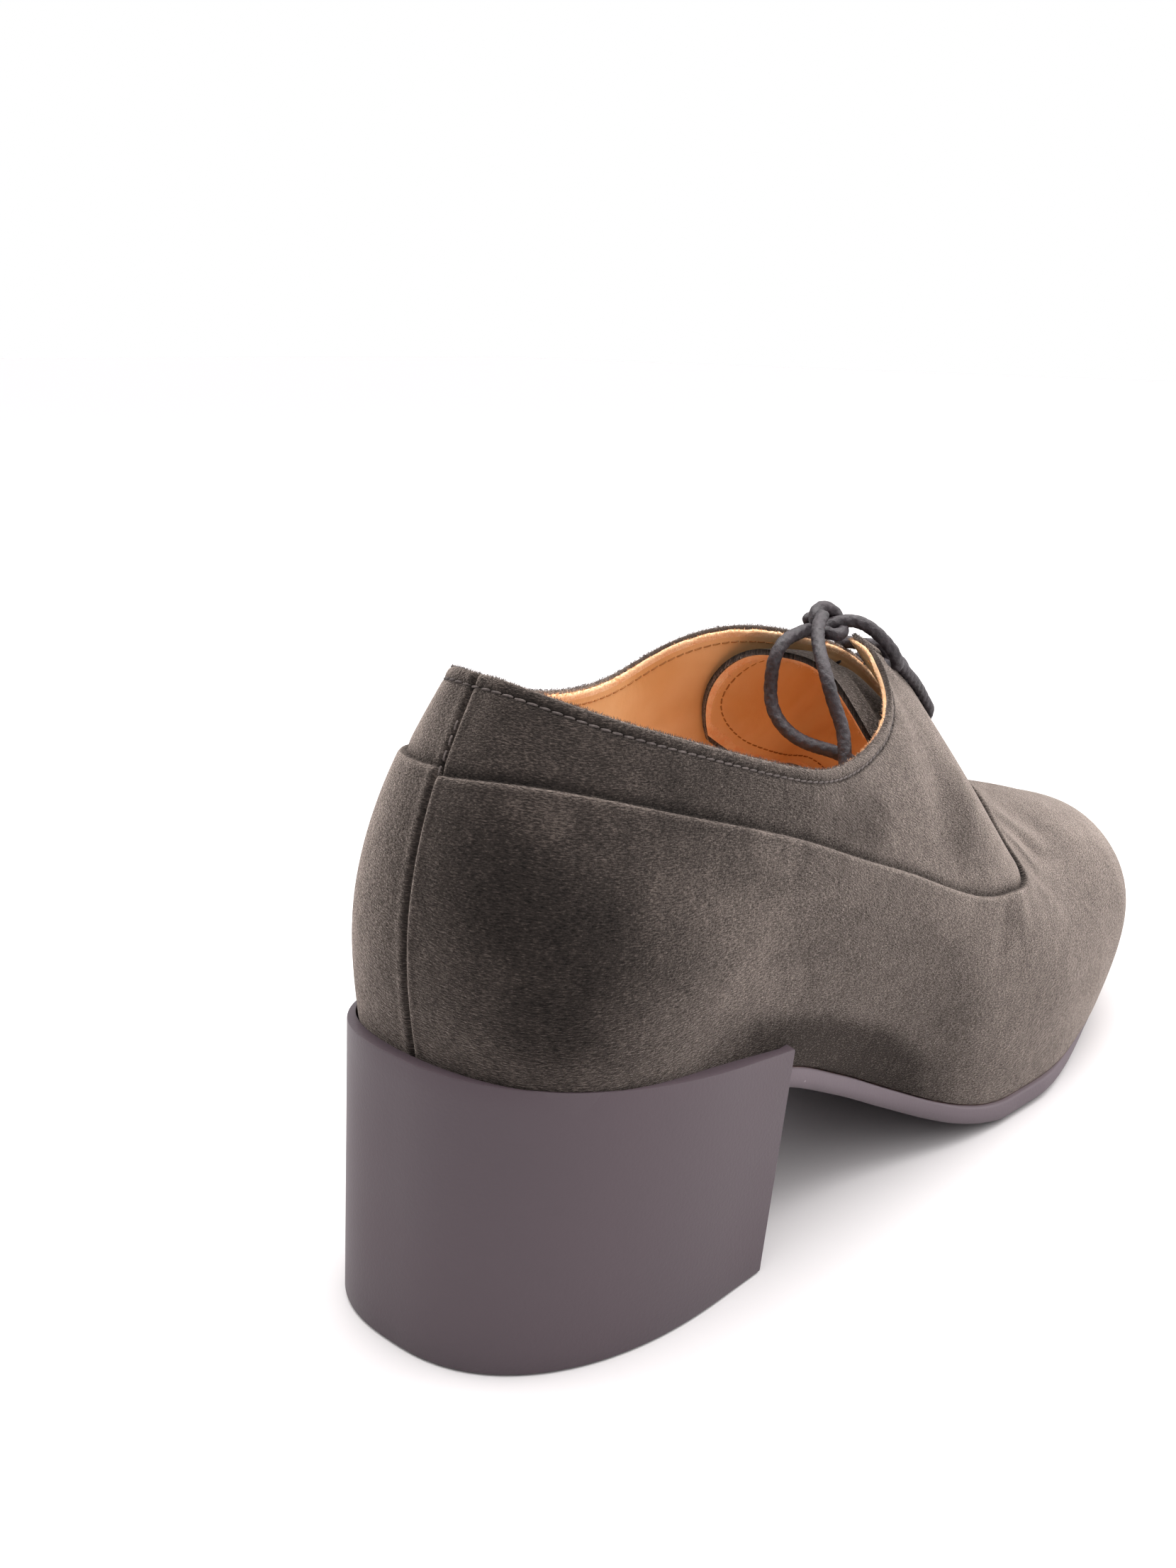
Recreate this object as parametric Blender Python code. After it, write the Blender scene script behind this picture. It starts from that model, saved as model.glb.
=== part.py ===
"""Right shoe of a pair: a suede galosh oxford on a block heel, size about EU 38.

X runs from heel to toe, -Y is the outer (lateral) side and +Y the inner (medial) side, Z is up.
All sizes below are millimetres from the back of the heel seat and the floor. The finished
pieces are scaled to metres and moved so that the origin is under the middle of the shoe.
"""

import bmesh
import bpy
import numpy as np
from mathutils import Vector

MM = 0.001
CLEARANCE = 0.3

# Wall of the upper: the galosh stands proud of the quarter, and both share one inner face.
GALOSH_PROUD = 0.3
QUARTER_SUNK = 0.7
WALL_DEPTH = 2.6
STEP_RUN = 0.35
SEAM_LIMITS = (0.05, 0.988)
GALOSH_ROWS = 12
QUARTER_ROWS = 6
INNER_ROWS = 10
GALOSH_ROW_SPACING = 1.25
INNER_ROW_SPACING = 1.15
RIBS_PER_STATION = 3
RIBS_AT_LOBE = 5
LOBE_STATIONS = (10, 11, 12, 19, 20, 21)

SOLE_EDGE_RADIUS = 2.6
INSOLE_THICKNESS = 2.5
INSOLE_INSET = 3.1

HEEL_LATERAL_POWER = 2.3
HEEL_MEDIAL_POWER = 2.7
HEEL_RIM_BACK_Z = 53.5
HEEL_RIM_SLOPE = 0.142
HEEL_CUP_MARGIN = 1.1
HEEL_LIP_GAP = 0.4
HEEL_CUP_SETBACK = 2.0
HEEL_EDGE_BEVEL = 0.5
HEEL_REACH = 120.0
HEEL_FAN_X = 32.5
HEEL_FAN_PULL = 0.75

TONGUE_THICKNESS = 2.0
TONGUE_TOP_X = 102.5
TONGUE_LATERAL_SWEEP = 8.0
TONGUE_MEDIAL_SWEEP = -3.0
TONGUE_CORNER = 5.5
TONGUE_CORNER_POWER = 16
TONGUE_ROWS = 22
TONGUE_COLUMNS = 16

LACE_RADIUS = 1.35
LACE_SEAT_GAP = 0.6
LACE_EDGE_DISTANCE = 4.2
LACE_EDGE_BEND = 0.8
LACE_RAIL_OVERRUN = 0.12
LACE_BAR_CROWN = (0.2, 0.0, 0.5)
LACE_RUN_STEP = 3.0
LACE_BAR_STATIONS = (10.1, 10.65, 11.2, 11.75)
LACE_KNOT_CENTRE = (117.2, -1.0, 111.0)
LACE_KNOT_RADII = (3.9, 3.8, 3.9)
CORD_STEP = 5.0

# Sections round the last. Each row is one rib: where it leaves the feather line, where it crosses
# the girth line and the shoulder line, where it ends at the mouth, and the height of the galosh seam.
# Columns: feather x y | girth x y z | shoulder x y z | mouth x y z | seam z
BACK_RIB = [
    (3.2, 0.0, 0.9, 0.0, 72.0, 7.2, 0.0, 99.0, 16.8, 0.0, 116.2, 101.0),
]
LATERAL_RIBS = [
    (7.5, -19.0, 5.2, -18.6, 71.5, 11.0, -13.5, 98.0, 18.2, -7.5, 115.3, 100.6),
    (20.0, -28.2, 17.5, -29.3, 70.0, 22.0, -22.5, 95.0, 26.5, -17.0, 111.0, 98.0),
    (42.0, -30.6, 41.0, -33.5, 67.0, 42.5, -30.0, 88.0, 43.5, -25.3, 104.3, 91.5),
    (66.0, -31.5, 66.0, -35.0, 60.0, 67.0, -33.5, 78.0, 68.0, -29.3, 95.9, 82.8),
    (88.0, -30.5, 88.0, -36.0, 52.0, 87.5, -34.5, 71.0, 86.0, -27.5, 92.3, 74.4),
    (106.0, -32.0, 105.5, -37.0, 45.0, 104.5, -34.2, 69.0, 103.3, -23.9, 93.4, 67.3),
    (118.0, -34.5, 117.5, -38.5, 40.0, 116.0, -32.8, 70.0, 116.5, -18.9, 98.2, 61.9),
    (129.0, -37.0, 128.5, -39.8, 35.0, 125.5, -31.2, 70.0, 121.2, -12.0, 106.5, 57.6),
    (139.0, -38.5, 138.0, -40.5, 31.5, 134.0, -29.7, 71.5, 121.7, -6.5, 109.9, 54.6),
    (150.0, -39.3, 148.5, -41.0, 28.5, 143.3, -28.9, 69.0, 131.7, -5.5, 105.6, 53.2),
    (163.0, -39.8, 161.5, -41.3, 26.5, 152.7, -27.9, 63.3, 145.5, -4.7, 97.4, 53.0),
    (181.0, -38.0, 179.0, -40.3, 26.5, 162.5, -26.1, 56.5, 155.5, -4.0, 87.6, 58.7),
    (200.8, -34.2, 199.6, -37.4, 28.3, 180.5, -24.0, 52.6, 161.5, -3.0, 78.0, 66.6),
    (217.6, -28.4, 218.3, -31.8, 31.5, 196.5, -19.8, 54.2, 164.2, -2.2, 70.8, 68.3),
    (234.6, -17.6, 237.1, -20.1, 32.5, 207.5, -11.2, 56.2, 165.6, -1.1, 68.4, 67.6),
]
TOE_RIB = [
    (249.0, 2.0, 252.3, 2.0, 31.0, 209.5, 0.0, 55.9, 166.0, 0.0, 68.0, 67.4),
]
MEDIAL_RIBS = [
    (7.5, 19.0, 5.4, 17.8, 71.5, 11.0, 13.5, 98.5, 18.2, 7.5, 116.0, 101.0),
    (20.0, 28.0, 17.5, 28.4, 70.0, 22.0, 22.0, 97.0, 27.0, 16.0, 112.5, 99.0),
    (42.0, 29.5, 41.0, 32.5, 67.0, 42.5, 28.5, 90.0, 44.0, 20.5, 106.5, 93.5),
    (66.0, 26.5, 66.0, 32.5, 61.0, 67.0, 31.5, 81.0, 67.5, 25.5, 101.6, 85.5),
    (88.0, 24.0, 88.0, 31.5, 54.0, 87.5, 30.5, 76.0, 84.0, 26.3, 102.9, 77.0),
    (106.0, 25.0, 105.5, 32.0, 47.5, 103.5, 28.5, 75.0, 94.5, 19.5, 109.1, 69.5),
    (118.0, 28.0, 117.5, 34.0, 42.0, 115.0, 26.5, 76.0, 104.0, 12.0, 111.6, 63.5),
    (129.0, 31.5, 128.5, 37.0, 37.0, 124.5, 26.0, 74.0, 112.5, 6.8, 110.6, 58.5),
    (139.0, 34.5, 138.0, 39.0, 33.5, 133.0, 26.0, 71.5, 117.5, 5.0, 109.2, 54.5),
    (150.0, 37.5, 148.5, 41.0, 30.5, 142.5, 26.0, 69.0, 131.0, 4.2, 105.0, 52.5),
    (163.0, 39.5, 161.5, 42.0, 27.5, 152.3, 26.0, 63.3, 144.8, 3.8, 97.2, 52.0),
    (181.0, 40.0, 179.5, 42.0, 27.0, 162.8, 26.0, 56.7, 155.0, 3.4, 87.6, 57.3),
    (202.0, 37.3, 201.0, 39.4, 28.0, 180.5, 24.5, 51.6, 161.5, 2.9, 78.0, 66.0),
    (219.0, 30.4, 220.4, 33.0, 30.0, 196.5, 19.3, 52.6, 164.2, 2.2, 70.8, 68.3),
    (236.4, 20.2, 239.6, 22.4, 30.5, 207.5, 10.0, 55.2, 165.6, 1.1, 68.4, 67.6),
]

# The sole from heel to toe. Columns: x | top of the sole, where the feather line lies | underside
SOLE_PROFILE = [
    (-5.0, 49.5, 46.2),
    (20.0, 46.0, 42.7),
    (45.0, 43.4, 39.8),
    (66.4, 38.6, 34.0),
    (87.0, 29.1, 24.4),
    (104.0, 20.1, 15.4),
    (119.6, 12.3, 7.6),
    (128.3, 8.8, 4.0),
    (137.3, 6.3, 1.3),
    (144.0, 5.4, 0.0),
    (165.0, 5.2, 0.0),
    (173.5, 5.5, 0.4),
    (192.0, 7.4, 2.9),
    (215.0, 9.6, 5.4),
    (254.0, 12.6, 8.8),
]

# How far the sole stands out from the feather line. Columns: x | margin
SOLE_MARGINS = [
    (65.0, 0.7),
    (78.0, 1.4),
    (168.0, 1.4),
    (200.0, 0.2),
    (254.0, -0.6),
]

# Plan of the heel at the floor and at the rim.
# Columns: x where the sides run straight | reach behind it | half width, lateral | medial | front x
HEEL_PLAN_FLOOR = (46.0, 49.2, 33.6, 32.0, 58.0)
HEEL_PLAN_RIM = (50.0, 50.7, 35.0, 33.0, 63.4)

# The tongue from its top end to its toe end; it lies close under the facings.
# Columns: x | crest z | half width, lateral, medial | drop at the edge, the same | arch power, the same
TONGUE_SECTIONS = [
    (100.0, 107.6, 19.0, 21.0, 15.0, 18.1, 3.2, 3.2),
    (104.0, 107.3, 19.0, 21.0, 15.5, 21.0, 3.0, 2.65),
    (108.0, 106.9, 19.0, 21.0, 16.2, 23.2, 2.4, 2.15),
    (112.0, 106.2, 19.0, 21.0, 16.6, 24.8, 2.0, 1.8),
    (116.0, 105.2, 19.0, 21.0, 17.0, 26.0, 1.9, 1.5),
    (120.0, 103.6, 19.5, 20.5, 18.2, 25.4, 1.35, 1.25),
    (125.0, 101.4, 20.0, 20.0, 19.0, 25.0, 1.15, 1.15),
    (130.0, 99.4, 20.0, 20.0, 18.0, 24.6, 1.15, 1.15),
    (137.0, 95.2, 19.5, 19.5, 17.0, 21.6, 1.2, 1.2),
    (144.0, 89.0, 19.0, 19.0, 15.6, 18.4, 1.2, 1.2),
    (150.0, 82.2, 18.0, 18.0, 14.6, 15.4, 1.2, 1.2),
    (156.0, 74.7, 16.5, 16.5, 11.6, 11.8, 1.3, 1.3),
    (161.0, 67.6, 15.0, 15.0, 6.2, 6.2, 1.7, 1.7),
    (165.0, 65.0, 14.0, 14.0, 5.0, 5.0, 2.0, 2.0),
    (170.0, 63.2, 13.0, 13.0, 4.4, 4.4, 2.0, 2.0),
    (177.0, 61.0, 12.0, 12.0, 4.2, 4.2, 1.8, 1.8),
]

# Routes of the free lace, from the knot. The loop hangs inside the collar, behind the tongue.
LACE_LOOP_ROUTE = [
    (112.9, -0.5, 110.6),
    (109.5, -0.9, 110.7),
    (106.0, -1.2, 110.4),
    (102.4, -1.4, 109.7),
    (99.7, -1.3, 107.3),
    (98.8, -1.0, 102.6),
    (98.4, -1.9, 97.0),
    (98.3, -5.6, 92.8),
    (99.5, -11.0, 90.4),
    (101.8, -16.5, 89.0),
    (104.8, -19.8, 85.2),
    (107.3, -21.3, 79.0),
    (106.0, -22.3, 73.0),
    (101.5, -22.8, 70.8),
    (97.2, -22.6, 74.0),
    (96.6, -21.8, 79.5),
    (97.6, -20.8, 85.5),
    (99.0, -19.2, 90.5),
    (100.2, -17.6, 94.6),
    (100.2, -15.5, 99.0),
    (100.0, -14.3, 102.0),
    (101.6, -11.5, 106.0),
    (105.5, -7.4, 109.4),
    (110.1, -4.2, 112.5),
    (113.7, -2.7, 113.7),
]
LACE_STRAND_ROUTE = [
    (119.9, -3.9, 111.9),
    (121.4, -5.9, 111.9),
    (123.4, -8.7, 110.4),
    (125.8, -10.9, 107.5),
    (128.1, -11.8, 104.7),
    (130.2, -11.4, 102.0),
]


def remove_scene_objects():
    for item in list(bpy.data.objects):
        bpy.data.objects.remove(item, do_unlink=True)


def second_derivatives(knots, points, closed):
    """Second derivatives of the cubic spline through points; a closed one repeats its first point."""
    count = len(knots) - 1
    step = np.diff(knots)
    size = count if closed else count + 1
    matrix = np.eye(size)
    right = np.zeros((size,) + points.shape[1:])
    inner = range(count) if closed else range(1, count)
    for i in inner:
        before = step[i - 1]
        after = step[i]
        matrix[i] = 0.0
        matrix[i, (i - 1) % size] += before
        matrix[i, i] += 2.0 * (before + after)
        matrix[i, (i + 1) % size] += after
        slope_after = (points[i + 1] - points[i]) / after
        slope_before = (points[i] - points[(i - 1) % count if closed else i - 1]) / before
        right[i] = 6.0 * (slope_after - slope_before)
    flat = np.linalg.solve(matrix, right.reshape(size, -1))
    result = flat.reshape(right.shape)
    return np.concatenate([result, result[:1]]) if closed else result


def spline(knots, points, at, closed=False):
    """Cubic spline through points at the given knots, read at the places in at."""
    knots = np.asarray(knots, float)
    points = np.asarray(points, float)
    bend = second_derivatives(knots, points, closed)
    cell = np.clip(np.searchsorted(knots, at, side="right") - 1, 0, len(knots) - 2)
    width = knots[cell + 1] - knots[cell]
    shape = (-1,) + (1,) * (points.ndim - 1)
    left = ((knots[cell + 1] - at) / width).reshape(shape)
    right = ((at - knots[cell]) / width).reshape(shape)
    square = (width ** 2 / 6.0).reshape(shape)
    value = left * points[cell] + right * points[cell + 1]
    value += ((left ** 3 - left) * bend[cell] + (right ** 3 - right) * bend[cell + 1]) * square
    return value


def monotone(table_x, table_y, at):
    """Curve through a table that never overshoots its rows, so a flat run stays flat."""
    x = np.asarray(table_x, float)
    y = np.asarray(table_y, float)
    at = np.clip(np.asarray(at, float), x[0], x[-1])
    step = np.diff(x)
    slope = np.diff(y) / step
    tangent = np.zeros(len(x))
    tangent[0] = slope[0]
    tangent[-1] = slope[-1]
    for i in range(1, len(x) - 1):
        if slope[i - 1] * slope[i] > 0:
            weight_a = 2.0 * step[i] + step[i - 1]
            weight_b = step[i] + 2.0 * step[i - 1]
            tangent[i] = (weight_a + weight_b) / (weight_a / slope[i - 1] + weight_b / slope[i])
    cell = np.clip(np.searchsorted(x, at, side="right") - 1, 0, len(x) - 2)
    width = step[cell]
    t = (at - x[cell]) / width
    value = (2 * t ** 3 - 3 * t ** 2 + 1) * y[cell] + (t ** 3 - 2 * t ** 2 + t) * width * tangent[cell]
    value += (3 * t ** 2 - 2 * t ** 3) * y[cell + 1] + (t ** 3 - t ** 2) * width * tangent[cell + 1]
    return value


def column(table, index):
    return [row[index] for row in table]


def sole_top(x):
    return monotone(column(SOLE_PROFILE, 0), column(SOLE_PROFILE, 1), x)


def sole_underside(x):
    return monotone(column(SOLE_PROFILE, 0), column(SOLE_PROFILE, 2), x)


class Last:
    """The outer face of the upper: smooth ribs from the feather line up to the mouth.

    Ribs are numbered by station: 0 at the back, then the lateral side, the toe and the medial side.
    """

    def __init__(self):
        table = np.array(BACK_RIB + LATERAL_RIBS + TOE_RIB + MEDIAL_RIBS[::-1])
        feather = np.column_stack([table[:, 0:2], sole_top(table[:, 0]) + CLEARANCE])
        self.nodes = np.stack([feather, table[:, 2:5], table[:, 5:8], table[:, 8:11]], axis=1)
        self.count = len(table)
        spacing = np.linalg.norm(np.roll(self.nodes, -1, axis=0) - self.nodes, axis=2).mean(axis=1)
        self.knots = np.concatenate([[0.0], np.cumsum(spacing)])
        fine = np.linspace(0.0, 1.0, 401)
        heights = self.points_on(self.nodes, np.tile(fine, (self.count, 1)))[:, :, 2]
        above = heights >= table[:, 11:12]
        self.seam_nodes = np.where(above.any(axis=1), fine[above.argmax(axis=1)], 1.0)

    def place(self, stations):
        """Spline parameter of each station number, whole or between two."""
        whole = np.arange(self.count + 1)
        return np.interp(np.mod(stations, self.count), whole, self.knots)

    def controls(self, stations):
        closed = np.concatenate([self.nodes, self.nodes[:1]])
        return spline(self.knots, closed, self.place(stations), closed=True)

    def seam(self, stations):
        closed = np.append(self.seam_nodes, self.seam_nodes[0])
        return np.clip(spline(self.knots, closed, self.place(stations), closed=True), *SEAM_LIMITS)

    @staticmethod
    def points_on(controls, heights):
        """Points at the given fractions of each rib, a row of fractions for each rib."""
        rows = []
        for control, fractions in zip(controls, heights):
            chord = np.linalg.norm(np.diff(control, axis=0), axis=1)
            knots = np.concatenate([[0.0], np.cumsum(chord)]) / chord.sum()
            rows.append(spline(knots, control, fractions))
        return np.array(rows)

    def surface(self, stations, heights):
        """Points and outward normals at stations, with a row of rib fractions for each."""
        small_turn = 0.02
        small_rise = 0.004
        stations = np.asarray(stations, float)
        here = self.controls(stations)
        points = self.points_on(here, heights)
        along = (self.points_on(self.controls(stations + small_turn), heights)
                 - self.points_on(self.controls(stations - small_turn), heights))
        up = (self.points_on(here, np.clip(heights + small_rise, 0.0, 1.0))
              - self.points_on(here, np.clip(heights - small_rise, 0.0, 1.0)))
        normals = np.cross(along, up)
        normals /= np.linalg.norm(normals, axis=2, keepdims=True)
        return points, normals

    def rib_lengths(self, stations):
        fractions = np.tile(np.linspace(0.0, 1.0, 41), (len(stations), 1))
        points = self.points_on(self.controls(stations), fractions)
        return np.linalg.norm(np.diff(points, axis=1), axis=2).sum(axis=1)


def rib_stations():
    """Stations of the modelled ribs, closer together where the galosh seam turns its lobe."""
    stations = []
    total = len(BACK_RIB + LATERAL_RIBS + TOE_RIB + MEDIAL_RIBS)
    for whole in range(total):
        parts = RIBS_AT_LOBE if whole in LOBE_STATIONS else RIBS_PER_STATION
        stations.extend(whole + np.arange(parts) / parts)
    return np.array(stations)


def material(name, colour, roughness):
    made = bpy.data.materials.new(name)
    made.use_nodes = True
    shader = made.node_tree.nodes["Principled BSDF"]
    shader.inputs["Base Color"].default_value = (*colour, 1.0)
    shader.inputs["Roughness"].default_value = roughness
    shader.inputs["Metallic"].default_value = 0.0
    return made


def add_object(name, mesh, finish, collection):
    mesh.materials.append(finish)
    made = bpy.data.objects.new(name, mesh)
    collection.objects.link(made)
    return made


def bridge_rings(mesh_data, first, second):
    count = len(first)
    for i in range(count):
        j = (i + 1) % count
        mesh_data.faces.new((first[i], first[j], second[j], second[i]))


def fill_across(mesh_data, ring):
    """Closes a ring with rungs between its two sides; the ring starts at one tip."""
    count = len(ring)
    half = count // 2
    for i in range(half):
        corners = [ring[i], ring[i + 1], ring[(count - i - 1) % count], ring[(count - i) % count]]
        unique = list(dict.fromkeys(corners))
        mesh_data.faces.new(unique)


def closed_body(name, mesh_data, finish, collection, smooth_angle):
    """Turns hand-built faces into a smooth-shaded object with its faces pointing out."""
    bmesh.ops.recalc_face_normals(mesh_data, faces=mesh_data.faces)
    mesh = bpy.data.meshes.new(name)
    mesh_data.to_mesh(mesh)
    mesh_data.free()
    mesh.shade_smooth()
    mesh.set_sharp_from_angle(angle=np.radians(smooth_angle))
    return add_object(name, mesh, finish, collection)


def loft(name, rings, finish, collection, wrap=False, fill=False, smooth_angle=35.0):
    """Skins a list of rings of points, in millimetres, into one closed body."""
    mesh_data = bmesh.new()
    made = [[mesh_data.verts.new(Vector(point) * MM) for point in ring] for ring in rings]
    pairs = list(zip(made, made[1:]))
    if wrap:
        pairs.append((made[-1], made[0]))
    for first, second in pairs:
        bridge_rings(mesh_data, first, second)
    if fill:
        fill_across(mesh_data, made[0])
        fill_across(mesh_data, made[-1])
    return closed_body(name, mesh_data, finish, collection, smooth_angle)


def make_upper(last, finish, collection):
    stations = rib_stations()
    seam = last.seam(stations)[:, None]
    step = STEP_RUN / last.rib_lengths(stations)[:, None]
    galosh_rise = np.linspace(0.0, 1.0, GALOSH_ROWS) ** GALOSH_ROW_SPACING
    galosh = seam * galosh_rise[None, :]
    quarter_foot = seam + step
    quarter = quarter_foot + (1.0 - quarter_foot) * np.linspace(0.0, 1.0, QUARTER_ROWS)[None, :]
    inner_rise = np.linspace(1.0, 0.0, INNER_ROWS) ** INNER_ROW_SPACING
    inner = np.tile(inner_rise, (len(stations), 1))
    rings = []
    for heights, offset in ((galosh, GALOSH_PROUD), (quarter, -QUARTER_SUNK), (inner, -WALL_DEPTH)):
        points, normals = last.surface(stations, heights)
        moved = points + offset * normals
        rings.extend(moved[:, k] for k in range(moved.shape[1]))
    for ring in (rings[0], rings[-1]):
        ring[:, 2] = sole_top(ring[:, 0]) + CLEARANCE
    return loft("upper", rings, finish, collection, wrap=True)


def feather_loop(last, stations):
    return last.controls(stations)[:, 0]


def plan_offset(loop, distance):
    """Moves a closed loop outward in plan by a distance, or by one for each point."""
    along = np.roll(loop, -1, axis=0) - np.roll(loop, 1, axis=0)
    outward = np.column_stack([along[:, 1], -along[:, 0], np.zeros(len(loop))])
    outward /= np.linalg.norm(outward, axis=1, keepdims=True)
    return loop + outward * np.reshape(distance, (-1, 1))


def sole_margins(x):
    return np.interp(x, column(SOLE_MARGINS, 0), column(SOLE_MARGINS, 1))


def make_outsole(last, finish, collection):
    loop = feather_loop(last, rib_stations())
    margin = sole_margins(loop[:, 0])
    turns = np.radians([0.0, 30.0, 60.0, 90.0])
    rings = [plan_offset(loop, margin)]
    rings[0][:, 2] = sole_top(rings[0][:, 0])
    for turn in turns:
        inset = SOLE_EDGE_RADIUS * (1.0 - np.cos(turn))
        lift = SOLE_EDGE_RADIUS * (1.0 - np.sin(turn))
        ring = plan_offset(loop, margin - inset)
        ring[:, 2] = sole_underside(ring[:, 0]) + lift
        rings.append(ring)
    return loft("outsole", rings, finish, collection, fill=True, smooth_angle=50.0)


def make_insole(last, finish, collection):
    loop = feather_loop(last, rib_stations())
    rings = []
    for height in (CLEARANCE, CLEARANCE + INSOLE_THICKNESS):
        ring = plan_offset(loop, -INSOLE_INSET)
        ring[:, 2] = sole_top(ring[:, 0]) + height
        rings.append(ring)
    return loft("insole", rings, finish, collection, fill=True, smooth_angle=50.0)


def fan_angles(cup):
    """Directions of the heel's rows from one point inside it; the forward ones stop short of the breast."""
    ahead = cup[:, 0] - HEEL_FAN_X
    ahead = np.where(ahead > 0.0, ahead * HEEL_FAN_PULL, ahead)
    return np.arctan2(cup[:, 1], ahead)


def heel_plan_radius(plan, angles):
    """Distance from the fan's point to the plan outline, along each angle."""
    centre, back, lateral, medial, _ = plan
    low = np.zeros(len(angles))
    high = np.full(len(angles), HEEL_REACH)
    for _ in range(50):
        middle = (low + high) / 2.0
        x = HEEL_FAN_X + middle * np.cos(angles)
        y = middle * np.sin(angles)
        behind = np.clip((centre - x) / back, 0.0, None)
        width = np.where(y < 0.0, lateral, medial)
        power = np.where(y < 0.0, HEEL_LATERAL_POWER, HEEL_MEDIAL_POWER)
        inside = behind ** power + (np.abs(y) / width) ** power < 1.0
        low = np.where(inside, middle, low)
        high = np.where(inside, high, middle)
    return low


def breast_x(z):
    """Front face of the heel: a plane that leans forward towards the sole."""
    floor = HEEL_PLAN_FLOOR[4]
    rim = HEEL_PLAN_RIM[4]
    rim_z = HEEL_RIM_BACK_Z - HEEL_RIM_SLOPE * rim
    return floor + (rim - floor) * z / rim_z


def seat_of_rim(last, stations, rim_height):
    """Where the rim of the heel cup meets the upper, just clear of its face."""
    fractions = np.tile(np.linspace(0.0, 0.4, 81), (len(stations), 1))
    points, normals = last.surface(stations, fractions)
    above = points[:, :, 2] >= rim_height(points[:, :, 0])
    first = above.argmax(axis=1)
    row = np.arange(len(stations))
    return (points[row, first] + (GALOSH_PROUD + HEEL_LIP_GAP) * normals[row, first])[:, :2]


def heel_rings(last):
    """Rings from the floor up the outside, over the rim and down to the seat of the heel cup."""
    stations = rib_stations()
    stations = np.where(stations > last.count / 2, stations - last.count, stations)
    cup = plan_offset(feather_loop(last, rib_stations()), HEEL_CUP_MARGIN)
    order = np.argsort(stations)
    order = order[(cup[order, 0] < HEEL_PLAN_RIM[4] - HEEL_CUP_SETBACK)]
    cup = cup[order][::-1]
    angles = fan_angles(cup)

    def outline(plan, inset=0.0):
        radius = heel_plan_radius(plan, angles) - inset
        ring = np.column_stack([HEEL_FAN_X + radius * np.cos(angles), radius * np.sin(angles)])
        lateral = (plan[4], -plan[2] + inset)
        medial = (plan[4], plan[3] - inset)
        return np.vstack([lateral, ring, medial])

    def rim_height(x):
        return HEEL_RIM_BACK_Z - HEEL_RIM_SLOPE * x

    inner = np.vstack([cup[0, :2], cup[:, :2], cup[-1, :2]])
    seated = seat_of_rim(last, stations[order][::-1], rim_height)
    lip = np.vstack([seated[0], seated, seated[-1]])
    floor = outline(HEEL_PLAN_FLOOR, HEEL_EDGE_BEVEL)
    floor_side = outline(HEEL_PLAN_FLOOR)
    rim = outline(HEEL_PLAN_RIM)
    rings = [np.column_stack([floor, np.zeros(len(floor))]),
             np.column_stack([floor_side, np.full(len(floor), HEEL_EDGE_BEVEL)]),
             np.column_stack([rim, rim_height(rim[:, 0])]),
             np.column_stack([lip, rim_height(lip[:, 0])]),
             np.column_stack([inner, sole_underside(inner[:, 0]) - CLEARANCE])]
    for ring in rings:
        for end in (0, -1):
            ring[end, 0] = breast_x(ring[end, 2])
    for end in (0, -1):
        for _ in range(8):
            rings[4][end, 2] = sole_underside(rings[4][end, 0]) - CLEARANCE
            rings[4][end, 0] = breast_x(rings[4][end, 2])
    return rings


def fill_rungs(mesh_data, row):
    """Closes an open row with rungs between its two halves."""
    count = len(row)
    for i in range(count // 2):
        corners = [row[i], row[i + 1], row[count - 2 - i], row[count - 1 - i]]
        unique = list(dict.fromkeys(corners))
        if len(unique) > 2:
            mesh_data.faces.new(unique)


def make_heel(last, finish, collection):
    mesh_data = bmesh.new()
    rows = [[mesh_data.verts.new(Vector(point) * MM) for point in ring] for ring in heel_rings(last)]
    for first, second in zip(rows, rows[1:]):
        for i in range(len(first) - 1):
            mesh_data.faces.new((first[i], first[i + 1], second[i + 1], second[i]))
    fill_rungs(mesh_data, rows[0])
    fill_rungs(mesh_data, rows[-1])
    breast = [row[0] for row in rows] + [row[-1] for row in reversed(rows)]
    mesh_data.faces.new(breast)
    bmesh.ops.triangulate(mesh_data, faces=[f for f in mesh_data.faces if len(f.verts) > 4])
    return closed_body("heel", mesh_data, finish, collection, smooth_angle=30.0)


def tongue_point(along, across):
    """Top face of the tongue; along runs from its rounded top to its toe end, across from -1 to 1."""
    x_column = column(TONGUE_SECTIONS, 0)
    out = np.abs(across)
    medial_top = TONGUE_MEDIAL_SWEEP * out ** 2 + TONGUE_CORNER * out ** TONGUE_CORNER_POWER
    top = TONGUE_TOP_X + np.where(across < 0.0, TONGUE_LATERAL_SWEEP * out ** 2, medial_top)
    x = top + (x_column[-1] - top) * along
    crest, *sides = [monotone(x_column, column(TONGUE_SECTIONS, k), x) for k in range(1, 8)]
    half, drop, power = [np.where(across < 0.0, sides[k], sides[k + 1]) for k in (0, 2, 4)]
    return np.stack([x, half * across, crest - drop * out ** power], axis=-1)


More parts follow.
